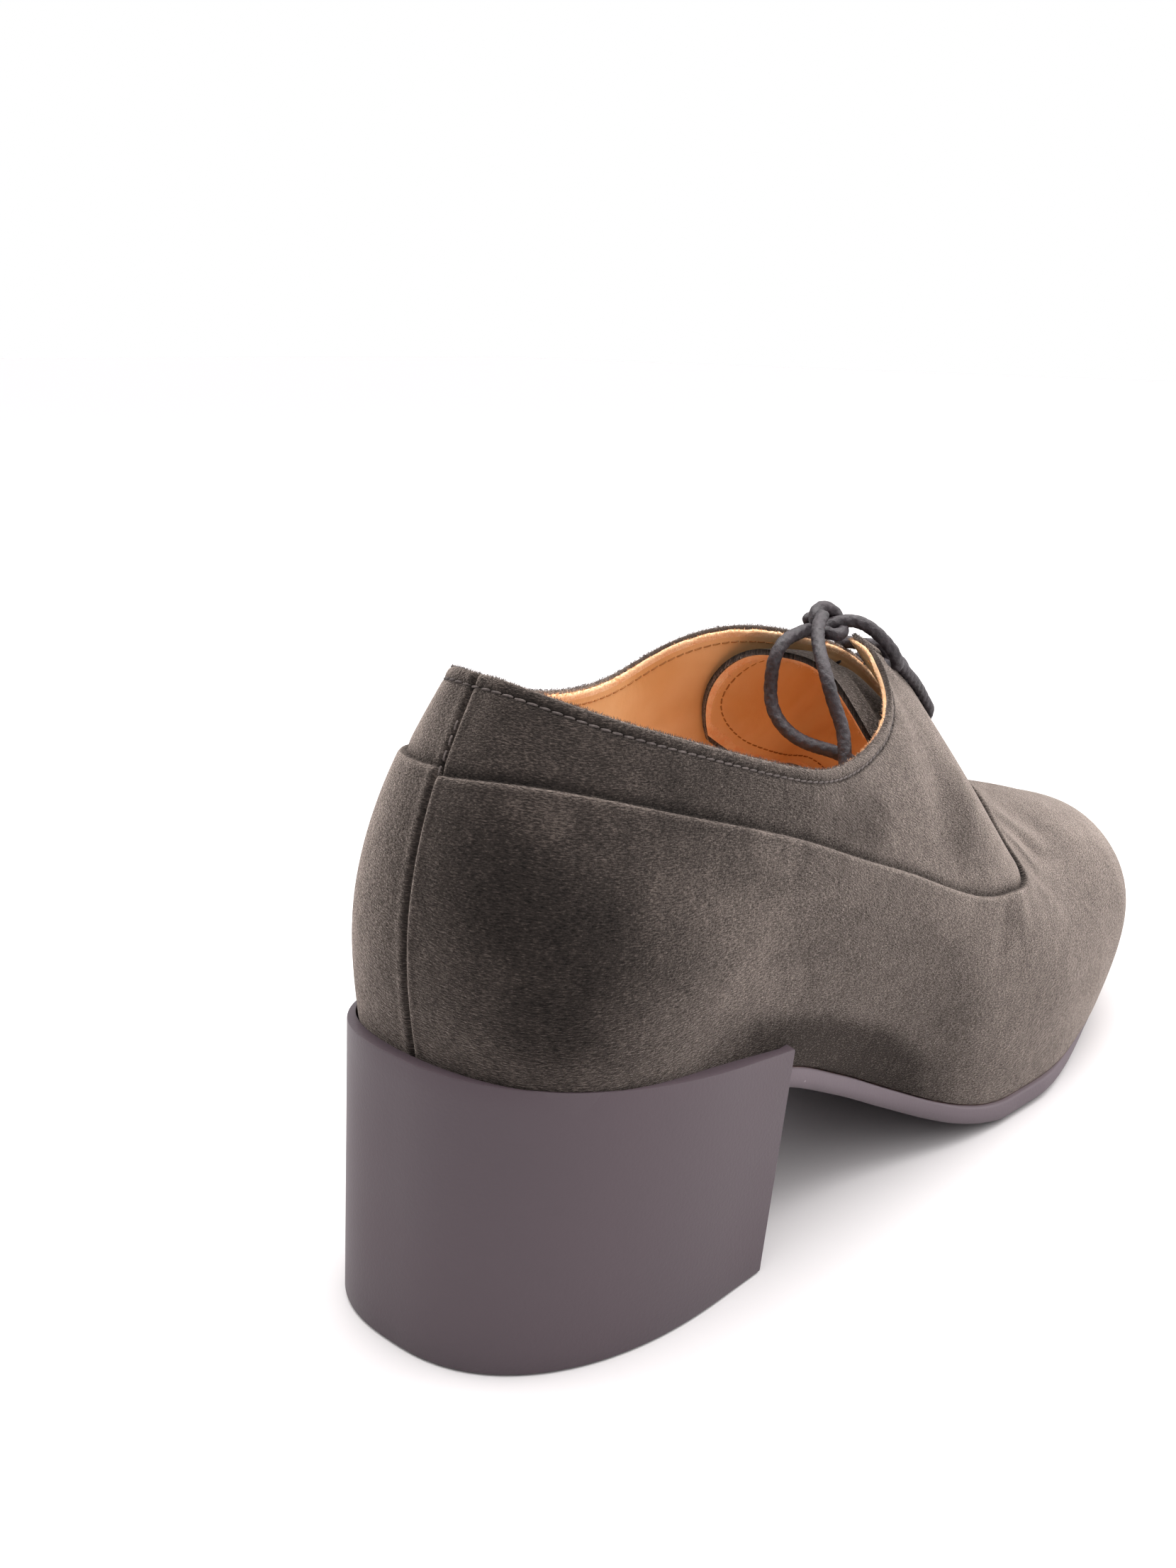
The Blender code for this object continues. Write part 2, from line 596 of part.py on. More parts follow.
def make_tongue(finish, collection):
    across = np.sin(np.linspace(-np.pi / 2.0, np.pi / 2.0, TONGUE_COLUMNS))
    small = 0.01
    rings = []
    for along in np.linspace(0.0, 1.0, TONGUE_ROWS):
        top = tongue_point(along, across)
        side = tongue_point(along, across + small) - tongue_point(along, across - small)
        ahead = tongue_point(along + small, across) - tongue_point(along - small, across)
        normal = np.cross(ahead, side)
        normal /= np.linalg.norm(normal, axis=1, keepdims=True)
        under = top - TONGUE_THICKNESS * normal
        rings.append(np.vstack([top, under[::-1]]))
    mesh_data = bmesh.new()
    rows = [[mesh_data.verts.new(Vector(point) * MM) for point in ring] for ring in rings]
    for first, second in zip(rows, rows[1:]):
        bridge_rings(mesh_data, first, second)
    for row in (rows[0], rows[-1]):
        fill_rungs(mesh_data, row)
    return closed_body("tongue", mesh_data, finish, collection, smooth_angle=40.0)


def smooth_route(points, spacing):
    """Evenly spaced points on the smooth curve through a route."""
    points = np.array(points, float)
    chord = np.concatenate([[0.0], np.cumsum(np.linalg.norm(np.diff(points, axis=0), axis=1))])
    fine = spline(chord, points, np.linspace(0.0, chord[-1], 400))
    length = np.concatenate([[0.0], np.cumsum(np.linalg.norm(np.diff(fine, axis=0), axis=1))])
    count = max(3, int(round(length[-1] / spacing)) + 1)
    even = np.linspace(0.0, length[-1], count)
    return np.column_stack([np.interp(even, length, fine[:, k]) for k in range(3)])


def make_tube(name, points, finish, collection):
    curve = bpy.data.curves.new(name, "CURVE")
    curve.dimensions = "3D"
    curve.bevel_depth = LACE_RADIUS * MM
    curve.bevel_resolution = 2
    curve.use_fill_caps = True
    line = curve.splines.new("POLY")
    line.points.add(len(points) - 1)
    for slot, point in zip(line.points, points):
        slot.co = (*(Vector(point) * MM), 1.0)
    curve.materials.append(finish)
    made = bpy.data.objects.new(name, curve)
    collection.objects.link(made)
    return made


def as_mesh_object(tube, collection):
    """Replaces a curve object by a closed mesh object of the same shape."""
    evaluated = tube.evaluated_get(bpy.context.evaluated_depsgraph_get())
    mesh = bpy.data.meshes.new_from_object(evaluated)
    mesh_data = bmesh.new()
    mesh_data.from_mesh(mesh)
    bmesh.ops.remove_doubles(mesh_data, verts=mesh_data.verts, dist=1e-6)
    mesh_data.to_mesh(mesh)
    mesh_data.free()
    name = tube.name
    bpy.data.objects.remove(tube, do_unlink=True)
    made = bpy.data.objects.new(name, mesh)
    collection.objects.link(made)
    return made


def lace_seat(last, station, edge_distance):
    """Centre of a lace that lies on the facing, a given distance below its edge."""
    stations = np.array([station])
    fraction = 1.0 - edge_distance / last.rib_lengths(stations)
    points, normals = last.surface(stations, fraction.reshape(1, 1))
    rise = LACE_RADIUS + LACE_SEAT_GAP - QUARTER_SUNK
    return points[0, 0] + rise * normals[0, 0]


def make_lace_crossings(last, finish, collection, cutters):
    """Two runs of lace along the facings and the bars across the throat, joined into one solid."""
    first = LACE_BAR_STATIONS[0]
    final = LACE_BAR_STATIONS[-1]
    opposite = last.count
    rail_stations = np.linspace(first - LACE_RAIL_OVERRUN, final + LACE_RAIL_OVERRUN, 9)
    lateral = [lace_seat(last, station, LACE_EDGE_DISTANCE) for station in rail_stations]
    medial = [lace_seat(last, opposite - station, LACE_EDGE_DISTANCE) for station in rail_stations]
    routes = [lateral, medial]
    for station in LACE_BAR_STATIONS:
        left = lace_seat(last, station, LACE_EDGE_DISTANCE)
        right = lace_seat(last, opposite - station, LACE_EDGE_DISTANCE)
        left_edge = lace_seat(last, station, LACE_EDGE_BEND)
        right_edge = lace_seat(last, opposite - station, LACE_EDGE_BEND)
        middle = (left_edge + right_edge) / 2.0 + np.array(LACE_BAR_CROWN)
        routes.append([left, left_edge, middle, right_edge, right])
    tubes = []
    for index, route in enumerate(routes):
        tube = make_tube("lace_run_%d" % index, smooth_route(route, LACE_RUN_STEP), finish, cutters)
        tubes.append(as_mesh_object(tube, cutters))
    joined = tubes[0]
    joined.name = "lace_crossings"
    cutters.objects.unlink(joined)
    collection.objects.link(joined)
    for tube in tubes[1:]:
        tube.hide_render = True
        tube.display_type = "WIRE"
        union = joined.modifiers.new("join_" + tube.name, "BOOLEAN")
        union.operation = "UNION"
        union.object = tube
    return joined


def make_knot(finish, collection):
    mesh = bpy.data.meshes.new("lace_knot")
    mesh_data = bmesh.new()
    bmesh.ops.create_uvsphere(mesh_data, u_segments=16, v_segments=10, radius=1.0)
    for vert in mesh_data.verts:
        vert.co = Vector([c * r * MM for c, r in zip(vert.co, LACE_KNOT_RADII)])
    mesh_data.to_mesh(mesh)
    mesh_data.free()
    mesh.shade_smooth()
    knot = add_object("lace_knot", mesh, finish, collection)
    knot.location = Vector(LACE_KNOT_CENTRE) * MM
    return knot


def move_origin_under_middle(collection, cords):
    """Parents every piece to one empty and moves it so that the origin is under the middle."""
    bpy.context.view_layer.update()
    corners = []
    graph = bpy.context.evaluated_depsgraph_get()
    for item in collection.objects:
        if item.name in cords:
            continue
        evaluated = item.evaluated_get(graph)
        corners.extend(evaluated.matrix_world @ Vector(corner) for corner in evaluated.bound_box)
    corners = np.array(corners)
    middle = (corners.min(axis=0) + corners.max(axis=0)) / 2.0
    empty = bpy.data.objects.new("shoe", None)
    collection.objects.link(empty)
    for item in list(collection.objects):
        if item is not empty:
            item.parent = empty
    empty.location = (-middle[0], -middle[1], -corners[:, 2].min())
    return empty


def main():
    remove_scene_objects()
    shoe = bpy.data.collections.new("lace_up_shoe")
    cutters = bpy.data.collections.new("cutters")
    for made in (shoe, cutters):
        bpy.context.scene.collection.children.link(made)

    suede = material("suede", (0.09, 0.08, 0.068), 0.95)
    rubber = material("sole_rubber", (0.26, 0.25, 0.3), 0.7)
    heel_plastic = material("heel_plastic", (0.155, 0.135, 0.145), 0.5)
    leather = material("lining_leather", (0.62, 0.4, 0.3), 0.6)
    cord = material("waxed_cord", (0.045, 0.04, 0.05), 0.5)

    last = Last()
    make_upper(last, suede, shoe)
    make_outsole(last, rubber, shoe)
    make_heel(last, heel_plastic, shoe)
    make_insole(last, leather, shoe)
    make_tongue(suede, shoe)
    crossings = make_lace_crossings(last, cord, shoe, cutters)
    make_knot(cord, shoe)
    make_tube("lace_loop", smooth_route(LACE_LOOP_ROUTE, CORD_STEP), cord, shoe)
    make_tube("lace_strand", smooth_route(LACE_STRAND_ROUTE, CORD_STEP / 2), cord, shoe)
    empty = move_origin_under_middle(shoe, ("lace_knot", "lace_loop", "lace_strand", "lace_crossings"))
    for modifier in crossings.modifiers:
        modifier.object.parent = empty


main()
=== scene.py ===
"""Looks of the right lace-up shoe: brushed suede, leather lining, covered block heel and waxed lace.

Sizes are millimetres in the shoe's own frame (x from heel to toe, -y the outer side, z up), measured
from the back of the heel seat. The row frame is the same one in metres, moved by ORIGIN.
"""

import bpy
import numpy as np
from mathutils import Matrix, Vector


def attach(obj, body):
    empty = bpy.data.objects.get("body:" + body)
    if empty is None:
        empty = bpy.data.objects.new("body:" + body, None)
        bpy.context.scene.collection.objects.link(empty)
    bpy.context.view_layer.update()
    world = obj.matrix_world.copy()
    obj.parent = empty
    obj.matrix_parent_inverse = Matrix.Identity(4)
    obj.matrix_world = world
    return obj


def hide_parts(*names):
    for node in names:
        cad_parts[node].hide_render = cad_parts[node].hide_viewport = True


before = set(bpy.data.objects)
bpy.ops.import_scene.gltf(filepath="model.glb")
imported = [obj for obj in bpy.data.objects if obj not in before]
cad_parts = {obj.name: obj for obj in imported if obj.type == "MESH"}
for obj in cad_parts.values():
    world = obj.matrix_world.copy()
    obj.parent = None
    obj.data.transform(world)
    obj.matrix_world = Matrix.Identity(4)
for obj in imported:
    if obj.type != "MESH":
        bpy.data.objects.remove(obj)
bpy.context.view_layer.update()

MM = 0.001
UNWRAP_SCALE = 0.01
ORIGIN = np.array([124.7227, 0.4272, 0.0])
RANDOM = np.random.default_rng(7)

# Camera: where it stands, and the turns that point it along the photograph's view.
CAMERA_AZIMUTH = -48.61
CAMERA_ELEVATION = 16.43
CAMERA_ROLL = 1.10
CAMERA_TARGET = (100.0, 0.0, 50.0)
CAMERA_DISTANCE = 329.1
CAMERA_SHIFT = (-36.0, 28.6)
CAMERA_LENS = 35.64
SENSOR = 36.0

# Wall of the upper, from the face of the last outward.
GALOSH_PROUD = 0.3
QUARTER_SUNK = 0.7
WALL_DEPTH = 2.6
CLEARANCE = 0.3
LINING_TOP_GAP = 0.35
QUARTER_TONE = 0.05
SUEDE_SLOT, RAW_SLOT, LINING_SLOT = range(3)
RIB_SPACING = 1.05
BACK_STEP = 0.6
GALOSH_LIP_START = 1.7
QUARTER_START = 2.6
COLLAR_BAND = 4.0
COLLAR_FULL_ROOM = 7.0
COLLAR_LEAST_ROOM = 0.04
LOBE_X = 168.0
LOBE_REACH = 24.0
LOBE_GROOVE = 0.7
COLLAR_STITCH = 2.4
COLLAR_STITCH_PITCH = 2.1
LINING_STITCH = 3.2
BACK_STITCH_PITCH = 2.6

SOLE_EDGE_RADIUS = 2.6
INSOLE_THICKNESS = 2.5
INSOLE_INSET = 3.1

HEEL_LATERAL_POWER = 2.3
HEEL_MEDIAL_POWER = 2.7
HEEL_RIM_BACK_Z = 53.5
HEEL_RIM_SLOPE = 0.142
HEEL_CUP_MARGIN = 1.1
HEEL_LIP_GAP = 0.4
HEEL_CUP_SETBACK = 2.0
HEEL_REACH = 120.0
HEEL_FAN_X = 32.5
HEEL_FAN_PULL = 0.75

TONGUE_TOP_X = 102.5
TONGUE_LATERAL_SWEEP = 8.0
TONGUE_MEDIAL_SWEEP = -3.0
TONGUE_CORNER = 7.5
TONGUE_CORNER_POWER = 11
TONGUE_SUEDE = 1.2
TONGUE_LINING = 0.8
TONGUE_LINING_INSET = 0.02
# Tones of the tongue's top face and of its underside; the top's dark tone is painted shade, for the tongue
# lying in shadow under the facings.
TONGUE_TONES = (-0.9, 0.5)
TONGUE_LINING_BEVEL = 0.055
TONGUE_STITCH = 2.0
TONGUE_SEWN_POINTS = 110
TONGUE_FIBRES = 1500
FIBRE_RADIUS = 0.06
FIBRE_SPREAD = 0.45

LACE_RADIUS = 1.35
LACE_SEAT_GAP = -0.2
LACE_EDGE_DISTANCE = 4.2
LACE_EDGE_BEND = 0.8
LACE_RAIL_OVERRUN = 0.12
LACE_STEP = 0.35
LACE_SIDES = 24
LACE_END_TUCK = 2.2
LACE_BAR_TUCK = 1.5
LACE_BAR_LIFT = (0.2, 0.0, 0.5)
BRAID_STRANDS = 4
BRAID_TURN = 2.6
BRAID_HEIGHT = 0.1
LACE_BAR_STATIONS = (10.1, 10.65, 11.2, 11.75)
LACE_KNOT_CENTRE = (117.2, -1.0, 111.0)

# Columns: feather x y | girth x y z | shoulder x y z | mouth x y z | seam z
BACK_RIB = [
    (3.2, 0.0, 0.9, 0.0, 72.0, 7.2, 0.0, 99.0, 16.8, 0.0, 116.2, 101.0),
]
LATERAL_RIBS = [
    (7.5, -19.0, 5.2, -18.6, 71.5, 11.0, -13.5, 98.0, 18.2, -7.5, 115.3, 100.6),
    (20.0, -28.2, 17.5, -29.3, 70.0, 22.0, -22.5, 95.0, 26.5, -17.0, 111.0, 98.0),
    (42.0, -30.6, 41.0, -33.5, 67.0, 42.5, -30.0, 88.0, 43.5, -25.3, 104.3, 91.5),
    (66.0, -31.5, 66.0, -35.0, 60.0, 67.0, -33.5, 78.0, 68.0, -29.3, 95.9, 82.8),
    (88.0, -30.5, 88.0, -36.0, 52.0, 87.5, -34.5, 71.0, 86.0, -27.5, 92.3, 74.4),
    (106.0, -32.0, 105.5, -37.0, 45.0, 104.5, -34.2, 69.0, 103.3, -23.9, 93.4, 67.3),
    (118.0, -34.5, 117.5, -38.5, 40.0, 116.0, -32.8, 70.0, 116.5, -18.9, 98.2, 61.9),
    (129.0, -37.0, 128.5, -39.8, 35.0, 125.5, -31.2, 70.0, 121.2, -12.0, 106.5, 57.6),
    (139.0, -38.5, 138.0, -40.5, 31.5, 134.0, -29.7, 71.5, 121.7, -6.5, 109.9, 54.6),
    (150.0, -39.3, 148.5, -41.0, 28.5, 143.3, -28.9, 69.0, 131.7, -5.5, 105.6, 53.2),
    (163.0, -39.8, 161.5, -41.3, 26.5, 152.7, -27.9, 63.3, 145.5, -4.7, 97.4, 53.0),
    (181.0, -38.0, 179.0, -40.3, 26.5, 162.5, -26.1, 56.5, 155.5, -4.0, 87.6, 58.7),
    (200.8, -34.2, 199.6, -37.4, 28.3, 180.5, -24.0, 52.6, 161.5, -3.0, 78.0, 66.6),
    (217.6, -28.4, 218.3, -31.8, 31.5, 196.5, -19.8, 54.2, 164.2, -2.2, 70.8, 68.3),
    (234.6, -17.6, 237.1, -20.1, 32.5, 207.5, -11.2, 56.2, 165.6, -1.1, 68.4, 67.6),
]
TOE_RIB = [
    (249.0, 2.0, 252.3, 2.0, 31.0, 209.5, 0.0, 55.9, 166.0, 0.0, 68.0, 67.4),
]
MEDIAL_RIBS = [
    (7.5, 19.0, 5.4, 17.8, 71.5, 11.0, 13.5, 98.5, 18.2, 7.5, 116.0, 101.0),
    (20.0, 28.0, 17.5, 28.4, 70.0, 22.0, 22.0, 97.0, 27.0, 16.0, 112.5, 99.0),
    (42.0, 29.5, 41.0, 32.5, 67.0, 42.5, 28.5, 90.0, 44.0, 20.5, 106.5, 93.5),
    (66.0, 26.5, 66.0, 32.5, 61.0, 67.0, 31.5, 81.0, 67.5, 25.5, 101.6, 85.5),
    (88.0, 24.0, 88.0, 31.5, 54.0, 87.5, 30.5, 76.0, 84.0, 26.3, 102.9, 77.0),
    (106.0, 25.0, 105.5, 32.0, 47.5, 103.5, 28.5, 75.0, 94.5, 19.5, 109.1, 69.5),
    (118.0, 28.0, 117.5, 34.0, 42.0, 115.0, 26.5, 76.0, 104.0, 12.0, 111.6, 63.5),
    (129.0, 31.5, 128.5, 37.0, 37.0, 124.5, 26.0, 74.0, 112.5, 6.8, 110.6, 58.5),
    (139.0, 34.5, 138.0, 39.0, 33.5, 133.0, 26.0, 71.5, 117.5, 5.0, 109.2, 54.5),
    (150.0, 37.5, 148.5, 41.0, 30.5, 142.5, 26.0, 69.0, 131.0, 4.2, 105.0, 52.5),
    (163.0, 39.5, 161.5, 42.0, 27.5, 152.3, 26.0, 63.3, 144.8, 3.8, 97.2, 52.0),
    (181.0, 40.0, 179.5, 42.0, 27.0, 162.8, 26.0, 56.7, 155.0, 3.4, 87.6, 57.3),
    (202.0, 37.3, 201.0, 39.4, 28.0, 180.5, 24.5, 51.6, 161.5, 2.9, 78.0, 66.0),
    (219.0, 30.4, 220.4, 33.0, 30.0, 196.5, 19.3, 52.6, 164.2, 2.2, 70.8, 68.3),
    (236.4, 20.2, 239.6, 22.4, 30.5, 207.5, 10.0, 55.2, 165.6, 1.1, 68.4, 67.6),
]

# Columns: x | top of the sole | underside
SOLE_PROFILE = [
    (-5.0, 49.5, 46.2),
    (20.0, 46.0, 42.7),
    (45.0, 43.4, 39.8),
    (66.4, 38.6, 34.0),
    (87.0, 29.1, 24.4),
    (104.0, 20.1, 15.4),
    (119.6, 12.3, 7.6),
    (128.3, 8.8, 4.0),
    (137.3, 6.3, 1.3),
    (144.0, 5.4, 0.0),
    (165.0, 5.2, 0.0),
    (173.5, 5.5, 0.4),
    (192.0, 7.4, 2.9),
    (215.0, 9.6, 5.4),
    (254.0, 12.6, 8.8),
]

# How far the sole stands out from the feather line. Columns: x | margin
SOLE_MARGINS = [
    (65.0, 0.7), (78.0, 1.4), (160.0, 1.4), (192.0, -0.4), (254.0, -1.4),
]

# Columns: x where the sides run straight | reach behind it | half width, lateral | medial | front x
HEEL_PLAN_FLOOR = (46.0, 49.2, 33.6, 32.0, 58.0)
HEEL_PLAN_RIM = (50.0, 50.7, 35.0, 33.0, 63.4)

# Columns: x | crest z | half width, lateral, medial | drop at the edge, the same | arch power, the same
TONGUE_SECTIONS = [
    (100.0, 107.6, 19.0, 21.0, 15.0, 18.1, 3.2, 3.2),
    (104.0, 107.3, 19.0, 21.0, 15.5, 21.0, 3.0, 2.65),
    (108.0, 106.9, 19.0, 21.0, 16.2, 23.2, 2.4, 2.15),
    (112.0, 106.2, 19.0, 21.0, 16.6, 24.8, 2.0, 1.8),
    (116.0, 105.2, 19.0, 21.0, 17.0, 26.0, 1.9, 1.5),
    (120.0, 103.6, 19.5, 20.5, 18.2, 25.4, 1.35, 1.25),
    (125.0, 101.4, 20.0, 20.0, 19.0, 25.0, 1.15, 1.15),
    (130.0, 99.4, 20.0, 20.0, 18.0, 24.6, 1.15, 1.15),
    (137.0, 95.2, 19.5, 19.5, 17.0, 21.6, 1.2, 1.2),
    (144.0, 89.0, 19.0, 19.0, 15.6, 18.4, 1.2, 1.2),
    (150.0, 82.2, 18.0, 18.0, 14.6, 15.4, 1.2, 1.2),
    (156.0, 74.7, 16.5, 16.5, 11.6, 11.8, 1.3, 1.3),
    (161.0, 67.6, 15.0, 15.0, 6.2, 6.2, 1.7, 1.7),
    (165.0, 65.0, 14.0, 14.0, 5.0, 5.0, 2.0, 2.0),
    (170.0, 63.2, 13.0, 13.0, 4.4, 4.4, 2.0, 2.0),
    (177.0, 61.0, 12.0, 12.0, 4.2, 4.2, 1.8, 1.8),
]

# Free lace: from the lateral top eyelet up to the knot, through it and round the hanging loop.
LACE_STRAND_ROUTE = [
    (119.9, -3.9, 111.9), (121.4, -5.9, 111.9), (123.4, -8.7, 110.4), (125.8, -10.9, 107.5),
    (128.1, -11.8, 104.7), (130.2, -11.4, 102.0),
]
LACE_KNOT_ROUTE = [(117.9, -2.3, 111.4), (115.6, -0.9, 110.8)]
LACE_LOOP_ROUTE = [
    (112.9, -0.5, 110.6), (109.5, -0.9, 110.7), (106.0, -1.2, 110.4), (102.4, -1.4, 109.7),
    (99.7, -1.3, 107.3), (98.8, -1.0, 102.6), (98.4, -1.9, 97.0), (98.3, -5.6, 92.8),
    (99.5, -11.0, 90.4), (101.8, -16.5, 89.0), (104.8, -19.8, 85.2), (107.3, -21.3, 79.0),
    (106.0, -22.3, 73.0), (101.5, -22.8, 70.8), (97.2, -22.6, 74.0), (96.6, -21.8, 79.5),
    (97.6, -20.8, 85.5), (99.0, -19.2, 90.5), (100.2, -17.6, 94.6), (100.2, -15.5, 99.0),
    (100.0, -14.3, 102.0), (101.6, -11.5, 106.0), (105.5, -7.4, 109.4), (110.1, -4.2, 112.5),
    (113.7, -2.7, 113.7),
]
# The other end, from the knot to the inner top eyelet.
LACE_MEDIAL_ROUTE = [(121.0, 2.8, 110.9), (124.5, 5.4, 110.0), (128.2, 7.8, 107.6), (131.0, 8.2, 105.0)]

# Strands of the knot. Columns: right | up | towards the viewer, from the knot's centre
KNOT_ARCH = [
    (2.9, 0.2, -1.6), (2.7, 2.0, -1.2), (0.9, 3.5, -0.3), (-1.4, 3.3, 1.2), (-2.3, 1.7, 2.3),
    (-2.1, -0.4, 2.7), (-1.5, -2.6, 2.5),
]
KNOT_WRAP = [
    (-3.4, 1.0, 0.4), (-2.6, 1.6, -1.6), (0.2, 1.4, -2.4), (2.9, 0.2, -1.2), (3.6, -1.3, 0.8),
    (2.3, -2.2, 2.2), (0.0, -1.6, 1.6), (-1.6, -0.4, 0.2),
]

# Creases of the suede. Columns: start x y z | end x y z | half width | height, ridges above zero
CREASES = [
    (169.5, -17.0, 62.0, 181.5, -23.5, 53.2, 2.4, 0.5),
    (166.0, -21.5, 58.7, 170.5, -28.0, 51.2, 2.0, 0.5),
    (172.5, -22.5, 56.0, 178.0, -26.5, 51.5, 1.9, -0.4),
    (180.0, -16.0, 57.5, 190.0, -22.0, 52.0, 3.0, -0.5),
    (148.0, -34.5, 53.5, 145.0, -38.7, 44.0, 2.8, 0.22),
    (152.0, -35.5, 51.0, 150.0, -38.6, 45.0, 2.6, -0.15),
    (140.0, -36.0, 53.0, 132.0, -39.3, 42.0, 3.0, -0.35),
    (160.0, -33.0, 51.5, 170.0, -36.5, 42.0, 3.5, 0.35),
    (168.0, 17.0, 61.0, 184.0, 25.0, 51.0, 1.9, 0.55),
    (166.0, 22.5, 57.0, 173.0, 30.0, 48.0, 1.8, 0.5),
    (150.0, 34.0, 52.0, 147.0, 39.0, 43.0, 2.0, 0.5),
    (153.0, 35.0, 50.0, 151.0, 39.0, 42.5, 2.0, -0.5),
]

# Painted shade in a band low on the outer waist, where the side turns under towards the sole. Columns: x |
# height of its upper edge
PAINTED_WAIST_SHADE = [
    (40.5, 54.6), (59.7, 51.2), (71.5, 48.4), (84.0, 43.0), (94.0, 38.0), (102.2, 32.8),
    (110.0, 27.2), (116.0, 21.5),
]
PAINTED_WAIST_SHADE_ENDS = (38.0, 60.0, 108.0, 122.0)
PAINTED_WAIST_SHADE_TONE = -1.0
PAINTED_WAIST_SHADE_EDGE = 0.9

# Brushed strokes of the nap, with a painted highlight over the toe and painted shade on the instep. Columns:
# start x y z | end x y z | half width | tone, lighter above zero
NAP_STROKES_AND_PAINTED_LIGHT = [
    (12.0, -16.0, 96.5, 16.0, -18.5, 97.0, 4.0, 0.35),
    (6.8, -14.4, 88.0, 14.0, -24.0, 74.0, 9.0, -0.35),
    (6.0, -21.0, 64.0, 11.0, -25.0, 61.5, 6.0, -0.4),
    (20.0, -28.0, 80.0, 34.0, -31.0, 70.0, 6.0, -0.25),
    (44.8, -33.4, 60.5, 62.0, -34.3, 58.0, 4.0, 0.3),
    (54.2, -31.7, 85.5, 60.0, -32.5, 82.0, 4.5, 0.3),
    (40.0, -29.5, 97.0, 90.0, -30.5, 83.0, 8.0, -0.4),
    (80.7, -32.4, 80.7, 96.0, -31.5, 80.0, 5.0, -0.3),
    # Painted shade on the instep.
    (126.0, -31.0, 70.0, 134.0, -28.0, 76.0, 8.0, -0.35),
    (28.0, -31.0, 80.0, 52.0, -33.5, 70.0, 8.0, 0.3),
    # Painted highlight over the toe, where the light falls on it.
    (185.0, -18.0, 52.0, 225.0, -8.0, 47.0, 18.0, 0.4),
    (141.0, -37.5, 50.0, 147.0, -39.2, 41.0, 3.5, -0.15),
    (60.0, 31.0, 60.0, 80.0, 31.0, 50.0, 10.0, -0.3),
    (110.0, 33.0, 50.0, 140.0, 38.0, 40.0, 9.0, 0.2),
]

FLOOR_REACH = 6.0
FLOOR_Z = -0.0002
FLOOR_COLOUR = (0.64, 0.625, 0.63, 1.0)
LIGHT_COLOUR = (1.0, 0.98, 0.97)
# Columns: name | place | target | size | power
AREA_LIGHTS = [
    ("overhead", (0.05, 0.05, 0.9), (0.0, 0.0, 0.05), (0.9, 0.8), 10.0),
    ("toe_side", (0.55, -0.45, 0.8), (0.05, 0.0, 0.05), (0.5, 0.5), 2.0),
    ("inner_side", (-0.35, 0.6, 0.7), (-0.05, 0.0, 0.05), (0.5, 0.5), 1.1),
]
STUDIO_COLOUR = (1.0, 0.985, 0.985, 1.0)
# Columns: direction | where the change starts and ends along it | strength there, from and to
STUDIO_GRADIENTS = [
    ((0.75, 0.66, 0.0), -0.35, 0.5, 0.0, 0.65),
    ((0.66, -0.75, 0.0), 0.1, 1.0, 0.0, 1.25),
    ((0.0, 0.0, 1.0), 0.1, 1.0, 0.0, 1.6),
]

# Rows of the upper's edges. Columns: distance from the seam or the collar's edge | offset | tone, here
# painted highlight and shade
# Galosh's cut edge; its tone is a painted highlight where the edge catches the light.
GALOSH_LIP = [
    (1.2, 0.3, 0.05), (0.8, 0.26, 0.15), (0.45, 0.15, 0.3), (0.2, 0.0, 0.3), (0.05, -0.2, 0.0),
]
# Foot of the step on the quarter; its tone is the painted shadow of the galosh's edge, deeper in the lobe's
# groove.
SEAM_FOOT = [
    (0.05, -0.7, -0.4), (0.25, -0.95, -0.7), (0.6, -0.93, -0.6), (1.1, -0.84, -0.35),
    (1.9, -0.74, -0.12),
]
# Collar's folded edge; its tone is painted shade in the stitch groove and a painted sheen on the rolled top.
COLLAR_EDGE = [
    (3.2, -0.7, QUARTER_TONE), (2.8, -0.74, -0.5), (2.55, -0.92, -0.7), (2.3, -0.92, -0.7),
    (2.05, -0.7, -0.2), (1.5, -0.58, 0.0), (0.9, -0.56, 0.1), (0.45, -0.66, 0.1), (0.12, -0.92, 0.4),
    (0.0, -1.25, 0.9), (0.1, -1.55, 1.3), (0.5, -1.72, 0.8),
]
# Rows of the lining's top. Columns: distance below its top | offset
LINING_RAW_EDGE = [(0.55, -1.8), (0.2, -1.86), (0.05, -2.2), (0.2, -2.58), (0.6, -2.66), (1.15, -2.64)]
LINING_SEWN_BAND = [(1.5, -2.62), (2.2, -2.62), (2.6, -2.56), (3.0, -2.62)]

# Layers of the nap.
# Columns: coordinates | stretch | turn | noise scale, detail, roughness, distortion | weight
NAP_LAYERS = [
    ("Object", (1.0, 1.0, 1.8), 0.0, 1800.0, 3.0, 0.65, 0.0, 0.8),
    ("UV", (1.0, 4.5, 1.0), 0.16, 85.0, 2.0, 0.6, 0.4, 1.0),
    ("UV", (1.0, 4.0, 1.0), -0.22, 125.0, 2.0, 0.6, 0.4, 0.75),
    ("Object", (1.0, 1.0, 1.0), 0.0, 330.0, 3.0, 0.6, 0.3, 0.35),
    ("Object", (1.0, 1.0, 1.0), 0.0, 70.0, 3.0, 0.6, 0.6, 0.25),
    ("Object", (1.0, 1.0, 1.0), 0.0, 24.0, 2.0, 0.5, 0.8, 0.2),
]


def row_frame(points):
    """Millimetres of the shoe's own frame to metres of the row frame."""
    return (np.asarray(points, float) - ORIGIN) * MM


